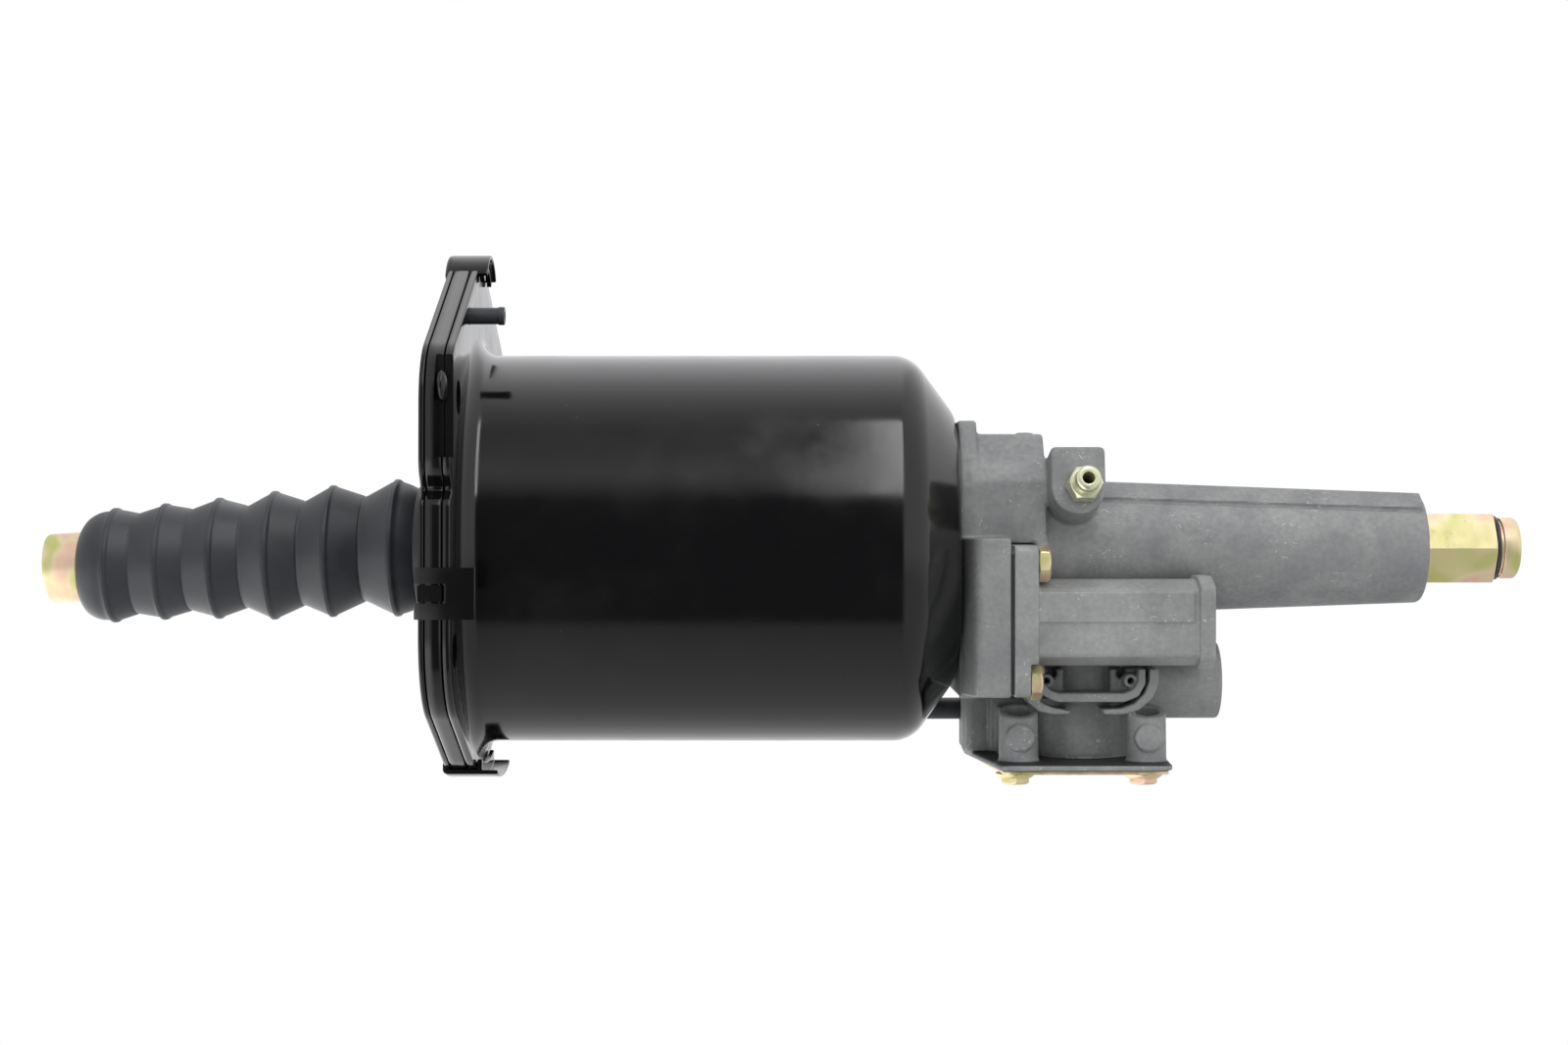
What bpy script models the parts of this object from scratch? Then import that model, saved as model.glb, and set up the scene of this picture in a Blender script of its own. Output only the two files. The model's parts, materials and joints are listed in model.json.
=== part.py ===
"""Air-assisted hydraulic clutch servo, modelled at real size in metres.

The origin is the middle of the mounting face, on the cylinder's axis. +X runs
along the axis to the fluid inlet, +Z is up, and -Y faces the person who looks
at the bleeder screw. The push rod leaves at -X and hangs a little low.
"""

import math

import bmesh
import bpy
from mathutils import Matrix, Vector

MM = 0.001

# Clearances
GAP = 0.3 * MM          # between pieces that touch on the real servo
BOLT_CLEARANCE = 0.3 * MM
OVERLAP = 1.0 * MM      # how far shapes that become one casting run into each other

# Facets round a turned shape
WIDE = 40
ROUND = 24
SMALL = 16
HOLE = 10

# Mounting flange: three sheets of the same outline, stacked along X
COVER_THICK = 1.5 * MM
PLATE_THICK = 5.0 * MM
CAN_FLANGE_THICK = 2.5 * MM
FLANGE_RIM = 9.8 * MM       # the flange's round part past the can
APEX_RISE = 8.1 * MM
APEX_R = 13.0 * MM
SHOULDER_SET = 2.5 * MM     # how far inside the can's radius its side lobes are centred
SHOULDER_UP = 44.0 * MM
SHOULDER_R = 20.0 * MM
HIP_SET = 8.5 * MM
HIP_DOWN = 26.0 * MM
HIP_R = 27.0 * MM
MOUNT_HOLE_R = 5.25 * MM
UPPER_HOLE_SHIFT = (2.0 * MM, 2.0 * MM)     # from the centres of the lobes
LOWER_HOLE_SHIFT = (17.0 * MM, -4.0 * MM)
PLATE_HOLE_R = 46.0 * MM
NOTCH_Z = (42.0 * MM, 57.0 * MM)
NOTCH_DEPTH = 11.0 * MM

# Cylinder can
CAN_R = 62.5 * MM
CAN_WALL = 1.6 * MM
CAN_END_X = 163.0 * MM
CAN_FLARE_R = 6.2 * MM
CAN_SHOULDER_R = 11.6 * MM
CAN_CONE_DEG = 54.0
CAN_END_EDGE = 11.9 * MM     # the flat end past the ring of its bolts

# Bellows, from its mouth on the rod to its collar in the cover
BELLOWS_WALL = 2.0 * MM
BELLOWS_MOUTH_X = -122.0 * MM
BELLOWS_CRESTS = (
    (-109.7 * MM, 18.7 * MM),
    (-93.5 * MM, 19.0 * MM),
    (-76.1 * MM, 19.8 * MM),
    (-58.0 * MM, 21.0 * MM),
    (-39.0 * MM, 21.5 * MM),
    (-18.0 * MM, 22.4 * MM),
)
BELLOWS_VALLEYS = (
    (-102.2 * MM, 16.2 * MM),
    (-85.0 * MM, 16.4 * MM),
    (-67.0 * MM, 16.5 * MM),
    (-48.2 * MM, 16.9 * MM),
    (-28.4 * MM, 17.0 * MM),
)
BELLOWS_COLLAR_R = 18.0 * MM
BELLOWS_BEAD_R = 20.6 * MM

# Push rod, which swings about the centre of its ball
PIVOT_X = -22.0 * MM
ROD_DROOP_DEG = 3.58
ROD_TIP = 109.2 * MM        # from the ball's centre to the rod's end
ROD_HEAD_R = 11.3 * MM
ROD_HEAD_LENGTH = 21.0 * MM
ROD_SHAFT_R = 8.0 * MM
ROD_BALL_R = 10.0 * MM
ROD_CUP_R = 7.0 * MM
ROD_CUP_DEPTH = 6.0 * MM
LINER_WALL = 1.0 * MM

# Power piston, at the front of its stroke
STROKE = 70.0 * MM
PISTON_FIT = 0.7 * MM
PISTON_RIM_X = 15.0 * MM
PISTON_RIM_LENGTH = 18.0 * MM
PISTON_RIM_WALL = 5.2 * MM
PISTON_WEB = 4.0 * MM
PISTON_STOP_SET = 8.2 * MM
PISTON_STOP_WALL = 3.0 * MM
PISTON_WEB_SET = 6.0 * MM
NOSE_R = 14.2 * MM
HUB_R = 15.0 * MM
HUB_END_X = 36.0 * MM
SEAL_DEPTH = 4.3 * MM
SEAL_LENGTH = 5.0 * MM
GUIDE_DEPTH = 2.0 * MM
GUIDE_LENGTH = 4.4 * MM
SPRING_WIRE_R = 1.7 * MM
SPRING_BIG_R = 34.0 * MM
SPRING_SMALL_R = 21.0 * MM
SPRING_TURNS = 5

# Hydraulic plunger and its bore
PLUNGER_R = 11.0 * MM
PLUNGER_STEM_R = 8.0 * MM
PLUNGER_SPARE = 4.0 * MM     # left in front of it at the end of the stroke
PLUNGER_SEAT = 24.0 * MM
BORE_R = 12.4 * MM
BORE_END_SET = 14.0 * MM
SEAL_BORE_R = 16.0 * MM
SPIGOT_R = 18.0 * MM
SPIGOT_LENGTH = 4.5 * MM

# Main casting; places along X are counted from its face or from its tower
CAST_PLATE_THICK = 6.0 * MM
CAST_HALF_WIDTH = 26.0 * MM
CAST_TOP_Z = 41.0 * MM
CAST_TOP_HALF = 14.0 * MM
CAST_SLOPE_Z = 20.0 * MM
UPPER_LENGTH = 27.2 * MM
UPPER_TOP_Z = 36.7 * MM
LOWER_LENGTH = 14.6 * MM
LOWER_NEAR_Y = -41.5 * MM
LOWER_LEFT_Y = -30.0 * MM
LOWER_SLOPE = 3.6 * MM
LOWER_BOTTOM_Z = -46.0 * MM
TUBE_LENGTH = 123.0 * MM
TUBE_ROOT = 27.7 * MM
TUBE_ROOT_R = 22.1 * MM
TUBE_END_R = 17.7 * MM
RIB_ROOT_HALF = 14.0 * MM
RIB_END_HALF = 11.3 * MM
TOWER = 40.9 * MM
TOWER_R = 13.5 * MM
TOWER_BORE_R = 9.5 * MM
COLUMN_R = 6.2 * MM
COLUMN_REACH = (23.2 * MM, 17.3 * MM)
COLUMN_YS = (-22.0 * MM, 28.0 * MM)
COLUMN_TOP_Z = -49.0 * MM
COLUMN_DISC_Z = -58.6 * MM
COLUMN_DISC_R = 4.5 * MM
COLUMN_DISC_RISE = 0.8 * MM
COLUMN_POCKET = 7.0 * MM
NECK_Y = (10.0 * MM, 30.0 * MM)
WALL_Y = (11.0 * MM, 17.0 * MM)
BASE_TOP_Z = -66.0 * MM
BASE_THICK = 3.2 * MM
BASE_REACH = (39.2 * MM, 25.8 * MM)
BASE_Y = (-33.0 * MM, 40.0 * MM)
BASE_CORNER = 10.5 * MM
BASE_SLANT = 3.0 * MM
BASE_SHEET = 1.5 * MM
AIR_BOSS_R = 12.5 * MM
AIR_BOSS_Z = -42.8 * MM
AIR_BOSS_REACH = 44.3 * MM
AIR_PORT_R = 8.0 * MM
AIR_PORT_DEPTH = 14.0 * MM
LOOP_REACH = (19.6 * MM, 22.2 * MM)
LOOP_Z = (-52.8 * MM, -34.0 * MM)
LOOP_RIB = 3.2 * MM
LOOP_GAP = 11.0 * MM

# Bleeder boss on the tube
BLEEDER = 36.2 * MM
BLEEDER_Z = 11.7 * MM
BLEEDER_TILT_DEG = 12.0
BLEEDER_HALF = 8.55 * MM
BLEEDER_TOP = 13.0 * MM
BLEEDER_FACE = 37.0 * MM
BLEEDER_HEX = 10.0 * MM
BLEEDER_THREAD_R = 4.0 * MM

# Relay valve housing in front of the tube
VALVE_Y = -27.0 * MM
VALVE_Z = -23.0 * MM
VALVE_PLATE_THICK = 7.3 * MM
VALVE_PLATE_Z = (-46.0 * MM, 1.3 * MM)
VALVE_PLATE_Y = (-42.5 * MM, -11.0 * MM)
VALVE_HALF = 13.5 * MM
VALVE_CHAMFER_Y = 8.0 * MM
VALVE_CHAMFER_Z = 3.2 * MM
VALVE_BACK_CHAMFER = 8.0 * MM
VALVE_COLLAR = 4.9 * MM
VALVE_LENGTH = 63.6 * MM
VALVE_COLLAR_RISE = 1.2 * MM
GASKET_THICK = 0.8 * MM
RELAY_BORE_R = 5.3 * MM
AIR_BORE_R = 9.0 * MM
SEAT = 19.1 * MM
SEAT_THICK = 3.0 * MM
SEAT_R = 5.5 * MM
CHAMBER_R = 9.4 * MM
RELAY_TRAVEL = 3.0 * MM

# Fluid inlet fitting
HEX_FLATS = 22.2 * MM
HEX_LENGTH = 23.0 * MM
FITTING_TIP = 8.5 * MM
FITTING_R = 9.9 * MM
FITTING_GROOVE_R = 8.9 * MM
FITTING_GROOVE = 3.0 * MM
FITTING_THREAD_R = 10.7 * MM
FITTING_BORE_R = 4.5 * MM

# Fasteners
M6_R = 3.0 * MM
M6_FLATS = 10.0 * MM
M6_HEAD = 3.6 * MM
CAN_BOLT_RING = 30.9 * MM
CAN_BOLT_DEGS = (119.0, 61.0, 241.0, 299.0)
VALVE_BOLTS = ((-37.0 * MM, -4.6 * MM), (-37.0 * MM, -41.4 * MM), (-16.4 * MM, -40.2 * MM))

# Clips, vent and breather pipe
CLIP_WIDTH = 15.3 * MM
CLIP_THICK = 1.5 * MM
CLIP_REACH = 6.9 * MM        # past the can's flange
CLIP_GRIP = 6.0 * MM
CLIP_SLOT = 6.0 * MM
CLIP_RELIEF = 0.2 * MM
SIDE_CLIP_Z = -12.6 * MM
VENT_Y = -35.0 * MM
VENT_RISE = 0.4 * MM
VENT_R = 2.6 * MM
VENT_END_X = 20.8 * MM
PIPE_ANGLE_DEG = -55.36
PIPE_R = 3.65 * MM
PIPE_BORE_R = 2.4 * MM
PIPE_DEPTH = 8.7 * MM

# Places that follow from the sizes above
PLATE_X = COVER_THICK + GAP
CAN_FLANGE_X = PLATE_X + PLATE_THICK + GAP
CAN_FLANGE_END_X = CAN_FLANGE_X + CAN_FLANGE_THICK
CLIP_REACH_X = CAN_FLANGE_END_X + CLIP_REACH
CAN_INNER_R = CAN_R - CAN_WALL
CAN_INNER_END_X = CAN_END_X - CAN_WALL
CAN_END_R = CAN_BOLT_RING + CAN_END_EDGE
CAN_BOLTS = [(CAN_BOLT_RING * math.cos(math.radians(turn)), CAN_BOLT_RING * math.sin(math.radians(turn)))
             for turn in CAN_BOLT_DEGS]
FLANGE_BODY_R = CAN_R + FLANGE_RIM
APEX_UP = FLANGE_BODY_R + APEX_RISE
SHOULDER_OUT = CAN_R - SHOULDER_SET
HIP_OUT = CAN_R - HIP_SET
MOUNT_HOLES = ((SHOULDER_OUT + UPPER_HOLE_SHIFT[0], SHOULDER_UP + UPPER_HOLE_SHIFT[1]),
               (HIP_OUT + LOWER_HOLE_SHIFT[0], LOWER_HOLE_SHIFT[1] - HIP_DOWN))
VENT_YZ = (VENT_Y, FLANGE_BODY_R + VENT_RISE)
PIPE_OUT = CAN_R + PIPE_R + 2 * GAP
PIPE_YZ = (PIPE_OUT * math.cos(math.radians(PIPE_ANGLE_DEG)), PIPE_OUT * math.sin(math.radians(PIPE_ANGLE_DEG)))
PISTON_R = CAN_INNER_R - PISTON_FIT
PISTON_STOP_R = PISTON_R - PISTON_STOP_SET
SEAL_GROOVE_R = PISTON_R - SEAL_DEPTH
PISTON_WEB_X = PISTON_RIM_X + PISTON_WEB_SET
CAST_FACE_X = CAN_END_X + GAP
SPIGOT_X = CAST_FACE_X - SPIGOT_LENGTH
CAST_PLATE_END_X = CAST_FACE_X + CAST_PLATE_THICK
UPPER_END_X = CAST_FACE_X + UPPER_LENGTH
LOWER_END_X = CAST_FACE_X + LOWER_LENGTH
TUBE_ROOT_X = CAST_FACE_X + TUBE_ROOT
TUBE_END_X = TUBE_ROOT_X + TUBE_LENGTH
BORE_END_X = TUBE_END_X - BORE_END_SET
PLUNGER_END_X = BORE_END_X - STROKE - PLUNGER_SPARE
TOWER_X = CAST_FACE_X + TOWER
COLUMN_XS = (TOWER_X - COLUMN_REACH[0], TOWER_X + COLUMN_REACH[1])
BASE_X = (TOWER_X - BASE_REACH[0], TOWER_X + BASE_REACH[1])
AIR_BOSS_END_X = TOWER_X + AIR_BOSS_REACH
LOOP_X = (TOWER_X - LOOP_REACH[0], TOWER_X + LOOP_REACH[1])
BLEEDER_X = CAST_FACE_X + BLEEDER
PIPE_END_X = CAST_FACE_X + PIPE_DEPTH
GASKET_X = LOWER_END_X + GAP
VALVE_PLATE_X = GASKET_X + GASKET_THICK + GAP
VALVE_PLATE_END_X = VALVE_PLATE_X + VALVE_PLATE_THICK
VALVE_END_X = LOWER_END_X + VALVE_LENGTH
VALVE_COLLAR_X = VALVE_END_X - VALVE_COLLAR
SEAT_X = (LOWER_END_X + SEAT, LOWER_END_X + SEAT + SEAT_THICK)
HEX_END_X = TUBE_END_X + HEX_LENGTH
FITTING_TIP_X = HEX_END_X + FITTING_TIP
BASE_BOTTOM_Z = BASE_TOP_Z - BASE_THICK
VALVE_HEAD_X = VALVE_PLATE_END_X + M6_HEAD + 3 * GAP     # past the heads of the valve housing's bolts
BALL_BORE_R = ROD_BALL_R + LINER_WALL + 2 * GAP

ALONG_X = Matrix.Rotation(math.radians(90), 4, "Y")
# Columns give where an outline's own two axes and its thickness point.
OUTLINE_IN_YZ = Matrix(((0, 0, 1, 0), (1, 0, 0, 0), (0, 1, 0, 0), (0, 0, 0, 1)))
OUTLINE_IN_XZ = Matrix(((1, 0, 0, 0), (0, 0, -1, 0), (0, 1, 0, 0), (0, 0, 0, 1)))
OUTLINE_IN_XY = Matrix.Identity(4)


def new_collection(name):
    made = bpy.data.collections.new(name)
    bpy.context.scene.collection.children.link(made)
    return made


for leftover in list(bpy.data.objects):
    bpy.data.objects.remove(leftover, do_unlink=True)
PARTS = new_collection("clutch_servo")
CUTTERS = new_collection("cutters")


def finish(name, colour, roughness, metallic):
    """A Principled material of one plain colour."""
    made = bpy.data.materials.new(name)
    made.use_nodes = True
    shader = made.node_tree.nodes["Principled BSDF"]
    shader.inputs["Base Color"].default_value = (*colour, 1.0)
    shader.inputs["Roughness"].default_value = roughness
    shader.inputs["Metallic"].default_value = metallic
    made.diffuse_color = (*colour, 1.0)
    return made


BLACK_PAINT = finish("black_paint", (0.012, 0.013, 0.015), 0.22, 0.0)
CAST_GREY = finish("shot_blasted_aluminium", (0.22, 0.22, 0.225), 0.55, 0.6)
VALVE_GREY = finish("cast_aluminium", (0.26, 0.265, 0.27), 0.55, 0.6)
YELLOW_ZINC = finish("yellow_zinc", (0.60, 0.50, 0.24), 0.35, 0.9)
PALE_ZINC = finish("pale_zinc", (0.68, 0.66, 0.45), 0.30, 0.9)
RUBBER = finish("black_rubber", (0.02, 0.023, 0.026), 0.6, 0.0)
STEEL = finish("ground_steel", (0.55, 0.55, 0.55), 0.25, 1.0)
SPRING_STEEL = finish("spring_steel", (0.15, 0.15, 0.16), 0.4, 0.9)
BRONZE = finish("bronze", (0.55, 0.36, 0.16), 0.35, 0.9)
PLASTIC = finish("guide_plastic", (0.75, 0.73, 0.66), 0.5, 0.0)


def add(name, mesh, place, material):
    obj = bpy.data.objects.new(name, mesh)
    obj.matrix_world = place
    PARTS.objects.link(obj)
    if material is not None and not mesh.materials:
        mesh.materials.append(material)
    return obj


def arc(centre, radius, first_deg, last_deg, steps):
    """Points (along, out) of an arc about centre, both ends included."""
    return [
        (
            centre[0] + radius * math.cos(math.radians(first_deg + (last_deg - first_deg) * i / steps)),
            centre[1] + radius * math.sin(math.radians(first_deg + (last_deg - first_deg) * i / steps)),
        )
        for i in range(steps + 1)
    ]


def turned(name, profile, material=None, sides=ROUND, place=ALONG_X):
    """A body of revolution from (along, radius) points.

    The points go round a ring's section, or from the axis out and back to it.
    """
    area = sum(a[0] * b[1] - b[0] * a[1] for a, b in zip(profile, profile[1:] + profile[:1]))
    loop = profile if area > 0 else profile[::-1]
    edges = [(i, i + 1) for i in range(len(loop) - 1)]
    if loop[0][1] > 0:
        edges.append((len(loop) - 1, 0))
    mesh = bpy.data.meshes.new(name)
    mesh.from_pydata([(radius, 0.0, along) for along, radius in loop], edges, [])
    obj = add(name, mesh, place, material)
    turn = obj.modifiers.new("Turn", "SCREW")
    turn.steps = turn.render_steps = sides
    turn.use_merge_vertices = True
    turn.merge_threshold = 0.00001
    turn.use_smooth_shade = True
    return obj


def ring(name, low, high, inner, outer, material, sides=ROUND, place=ALONG_X):
    return turned(name, [(high, inner), (high, outer), (low, outer), (low, inner)],
                  material, sides, place)


def baked(obj):
    """The mesh that an object's modifiers make, with the object itself removed."""
    bpy.context.view_layer.update()
    graph = bpy.context.evaluated_depsgraph_get()
    mesh = bpy.data.meshes.new_from_object(obj.evaluated_get(graph))
    bpy.data.objects.remove(obj)
    grid = bmesh.new()
    grid.from_mesh(mesh)
    bmesh.ops.remove_doubles(grid, verts=grid.verts, dist=0.000001)
    bmesh.ops.recalc_face_normals(grid, faces=grid.faces)
    grid.to_mesh(mesh)
    grid.free()
    return mesh


def outline(name, loops, low, high, plane, material=None):
    """A flat outline with its holes, given thickness from low to high along its normal."""
    curve = bpy.data.curves.new(name, "CURVE")
    curve.dimensions = "2D"
    curve.fill_mode = "BOTH"
    curve.extrude = (high - low) / 2
    for loop in loops:
        spline = curve.splines.new("POLY")
        spline.points.add(len(loop) - 1)
        spline.use_cyclic_u = True
        for point, (across, up) in zip(spline.points, loop):
            point.co = (across, up, 0.0, 1.0)
    guide = bpy.data.objects.new(name + "_outline", curve)
    PARTS.objects.link(guide)
    place = plane @ Matrix.Translation((0.0, 0.0, (low + high) / 2))
    return add(name, baked(guide), place, material)


def box(name, low, high, material=None):
    grid = bmesh.new()
    size = [b - a for a, b in zip(low, high)]
    middle = [(a + b) / 2 for a, b in zip(low, high)]
    place = Matrix.Translation(middle) @ Matrix.Diagonal((*size, 1.0))
    bmesh.ops.create_cube(grid, size=1.0, matrix=place)
    mesh = bpy.data.meshes.new(name)
    grid.to_mesh(mesh)
    grid.free()
    return add(name, mesh, Matrix.Identity(4), material)


def cylinder(name, start, end, radius, sides=SMALL, material=None, end_radius=None, turn=0.0):
    """A cylinder or cone from start to end; turn rolls its corners about its axis."""
    start, end = Vector(start), Vector(end)
    grid = bmesh.new()
    place = (
        Matrix.Translation((start + end) / 2)
        @ (end - start).to_track_quat("Z", "Y").to_matrix().to_4x4()
        @ Matrix.Rotation(turn, 4, "Z")
    )
    bmesh.ops.create_cone(
        grid,
        cap_ends=True,
        segments=sides,
        radius1=radius,
        radius2=radius if end_radius is None else end_radius,
        depth=(end - start).length,
        matrix=place,
    )
    mesh = bpy.data.meshes.new(name)
    grid.to_mesh(mesh)
    grid.free()
    return add(name, mesh, Matrix.Identity(4), material)


def combine(obj, operation, *tools):
    """Joins or cuts obj with the tools, which stay in the scene as hidden helpers."""
    for tool in tools:
        step = obj.modifiers.new(f"{operation} {tool.name}"[:60], "BOOLEAN")
        step.operation = operation
        step.solver = "EXACT"
        step.object = tool
        if tool.name in PARTS.objects:
            PARTS.objects.unlink(tool)
            CUTTERS.objects.link(tool)
        tool.hide_render = True
        tool.display_type = "WIRE"
    return obj


def unite(obj, *tools):
    return combine(obj, "UNION", *tools)


def cut(obj, *tools):
    return combine(obj, "DIFFERENCE", *tools)


def circle(centre, radius, steps=ROUND):
    return [
        (
            centre[0] + radius * math.cos(2 * math.pi * i / steps),
            centre[1] + radius * math.sin(2 * math.pi * i / steps),
        )
        for i in range(steps)
    ]


def rounded(low, high, radius, steps=4):
    """A rectangle's outline with round corners."""
    corners = (
        ((high[0] - radius, high[1] - radius), 0),
        ((low[0] + radius, high[1] - radius), 90),
        ((low[0] + radius, low[1] + radius), 180),
        ((high[0] - radius, low[1] + radius), 270),
    )
    return [point for centre, first in corners for point in arc(centre, radius, first, first + 90, steps)]


def hull_of_discs(discs, steps=WIDE):
    """The outline of a string drawn round the discs (across, up, radius)."""
    loop = []
    for i in range(steps):
        angle = 2 * math.pi * (i + 0.5) / steps
        way = (math.cos(angle), math.sin(angle))
        reach = [d[0] * way[0] + d[1] * way[1] + d[2] for d in discs]
        across, up, radius = discs[reach.index(max(reach))]
        loop.append((across + radius * way[0], up + radius * way[1]))
    return loop


def empty(name, place):
    made = bpy.data.objects.new(name, None)
    made.matrix_world = place
    PARTS.objects.link(made)
    return made


def carry(holder, *pieces):
    """Parents the pieces to an empty on their joint's axis, each where it stands."""
    bpy.context.view_layer.update()
    for piece in pieces:
        piece.parent = holder
        piece.matrix_parent_inverse = holder.matrix_world.inverted()


def bolt_mesh(name, shank, flats=M6_FLATS, head=M6_HEAD, radius=M6_R):
    """A hexagon bolt whose head's underside lies at zero and whose shank runs along +Z."""
    top = cylinder(name, (0, 0, -head), (0, 0, 0), flats / math.sqrt(3), 6)
    stem = cylinder(name + "_shank", (0, 0, -head / 2), (0, 0, shank), radius, HOLE)
    unite(top, stem)
    mesh = baked(top)
    bpy.data.objects.remove(stem)
    return mesh


def coil(name, first_x, last_x, first_r, last_r, turns, wire_r, material, centre=(0.0, 0.0), steps=HOLE):
    """A helical spring along X from the first seat to the last, a closed wire with flat caps."""
    curve = bpy.data.curves.new(name, "CURVE")
    curve.dimensions = "3D"
    curve.bevel_depth = wire_r
    curve.bevel_resolution = 1
    curve.use_fill_caps = True
    spline = curve.splines.new("POLY")
    count = turns * steps + 1
    spline.points.add(count - 1)
    start, end = first_x + wire_r + GAP, last_x - wire_r - GAP
    for i, point in enumerate(spline.points):
        share = i / (count - 1)
        angle = 2 * math.pi * turns * share
        radius = first_r + (last_r - first_r) * share
        point.co = (
            start + (end - start) * share,
            centre[0] + radius * math.cos(angle),
            centre[1] + radius * math.sin(angle),
            1.0,
        )
    obj = bpy.data.objects.new(name, curve)
    PARTS.objects.link(obj)
    curve.materials.append(material)
    return obj


# Mounting flange

FLANGE_LOOP = hull_of_discs([
    (0.0, 0.0, FLANGE_BODY_R),
    (0.0, APEX_UP, APEX_R),
    (SHOULDER_OUT, SHOULDER_UP, SHOULDER_R),
    (-SHOULDER_OUT, SHOULDER_UP, SHOULDER_R),
    (HIP_OUT, -HIP_DOWN, HIP_R),
    (-HIP_OUT, -HIP_DOWN, HIP_R),
])
FLANGE_EDGE_Y = HIP_OUT + HIP_R
FLANGE_TOP_Z = APEX_UP + APEX_R
BOLT_LOOPS = [circle((side * y, z), MOUNT_HOLE_R, HOLE) for y, z in MOUNT_HOLES for side in (1, -1)]


def stepped(loop, low, high, half):
    """The loop with a square step in or out on each side, between two heights, to this half width."""
    bitten = []
    for a, b in zip(loop, loop[1:] + loop[:1]):
        if not low < a[1] < high:
            bitten.append(a)
        crossed = [level for level in (low, high) if (a[1] - level) * (b[1] - level) < 0]
        for level in sorted(crossed, key=lambda level: abs(level - a[1])):
            across = a[0] + (b[0] - a[0]) * (level - a[1]) / (b[1] - a[1])
            corner = (math.copysign(half, across), level)
            entering = (level == low) == (b[1] > a[1])
            bitten += [(across, level), corner] if entering else [corner, (across, level)]
    return bitten


def flange_sheet(name, low, thick, hole_r, material, loop=FLANGE_LOOP):
    return outline(name, [loop, circle((0, 0), hole_r, WIDE), *BOLT_LOOPS],
                   low, low + thick, OUTLINE_IN_YZ, material)


tongue_half = CLIP_SLOT / 2 - 2 * GAP
front_cover = flange_sheet(
    "front_cover", 0.0, COVER_THICK, BELLOWS_COLLAR_R + GAP, BLACK_PAINT,
    stepped(FLANGE_LOOP, SIDE_CLIP_Z - tongue_half, SIDE_CLIP_Z + tongue_half, FLANGE_EDGE_Y + CLIP_THICK))
mounting_plate = flange_sheet(
    "mounting_plate", PLATE_X, PLATE_THICK, PLATE_HOLE_R, BLACK_PAINT,
    stepped(FLANGE_LOOP, *NOTCH_Z, SHOULDER_OUT + SHOULDER_R - NOTCH_DEPTH))


def clip(name, spin, edge):
    """A bent sheet clip over the flange's edge; spin turns it about X from the top."""
    inner, outer = edge + GAP, edge + GAP + CLIP_THICK
    barb_x = CAN_FLANGE_END_X + GAP
    section = [
        (-GAP - CLIP_THICK, edge - CLIP_GRIP),
        (-GAP, edge - CLIP_GRIP),
        (-GAP, inner),
        (barb_x, inner),
        (barb_x, edge - CLIP_GRIP / 2),
        (barb_x + CLIP_THICK, edge - CLIP_GRIP / 2),
        (barb_x + CLIP_THICK, inner + CLIP_RELIEF),
        (CLIP_REACH_X, inner + CLIP_RELIEF),
        (CLIP_REACH_X, outer),
        (-GAP - CLIP_THICK, outer),
    ]
    made = outline(name, [section], -CLIP_WIDTH / 2, CLIP_WIDTH / 2, OUTLINE_IN_XZ, BLACK_PAINT)
    slot = box(name + "_slot", (-3 * MM, -CLIP_SLOT / 2, edge - 2 * CLIP_GRIP),
               (4.8 * MM, CLIP_SLOT / 2, outer + OVERLAP))
    for piece in (made, slot):
        piece.matrix_world = spin @ piece.matrix_world
    return cut(made, slot)


def about_x(degrees, drop=0.0):
    return Matrix.Translation((0, 0, drop)) @ Matrix.Rotation(math.radians(degrees), 4, "X")


clip_top = clip("clip_top", about_x(0), FLANGE_TOP_Z)
clip_bottom = clip("clip_bottom", about_x(180), FLANGE_BODY_R)
clip_near = clip("clip_near", about_x(90, SIDE_CLIP_Z), FLANGE_EDGE_Y)
clip_far = clip("clip_far", about_x(-90, SIDE_CLIP_Z), FLANGE_EDGE_Y)

# Cylinder can: the drawn shell is thickened inwards, then joined to its flange

flare_centre = (CAN_FLANGE_END_X - 0.2 * MM + CAN_FLARE_R, CAN_R + CAN_FLARE_R)
cone_drop = CAN_SHOULDER_R * (1 - math.cos(math.radians(CAN_CONE_DEG)))
cone_run = (CAN_R - cone_drop - CAN_END_R) / math.tan(math.radians(CAN_CONE_DEG))
shoulder_x = CAN_END_X - cone_run - CAN_SHOULDER_R * math.sin(math.radians(CAN_CONE_DEG))
can_profile = (
    [(CAN_END_X, SPIGOT_R + GAP), (CAN_END_X, CAN_END_R)]
    + arc((shoulder_x, CAN_R - CAN_SHOULDER_R), CAN_SHOULDER_R, 90 - CAN_CONE_DEG, 90, 4)
    + arc(flare_centre, CAN_FLARE_R, 270, 180, 3)
    + [(flare_centre[0] - CAN_FLARE_R, flare_centre[1] + 1.5 * MM)]
)
can_mesh = bpy.data.meshes.new("can")
can_mesh.from_pydata([(r, 0.0, x) for x, r in can_profile], [(i, i + 1) for i in range(len(can_profile) - 1)], [])
can = add("can", can_mesh, ALONG_X, BLACK_PAINT)
can_turn = can.modifiers.new("Turn", "SCREW")
can_turn.steps = can_turn.render_steps = WIDE
can_turn.use_smooth_shade = True
can_wall = can.modifiers.new("Wall", "SOLIDIFY")
can_wall.thickness = CAN_WALL
can_wall.offset = -1.0
can_wall.use_even_offset = True
can_flange = flange_sheet("can_flange", CAN_FLANGE_X, CAN_FLANGE_THICK, CAN_R + CAN_FLARE_R - 2.4 * MM, None)
unite(can, can_flange)
cut(can, cylinder("vent_hole", (CAN_FLANGE_X - 2 * MM, *VENT_YZ), (CAN_FLANGE_END_X + 2 * MM, *VENT_YZ), VENT_R + GAP, HOLE))
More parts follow.
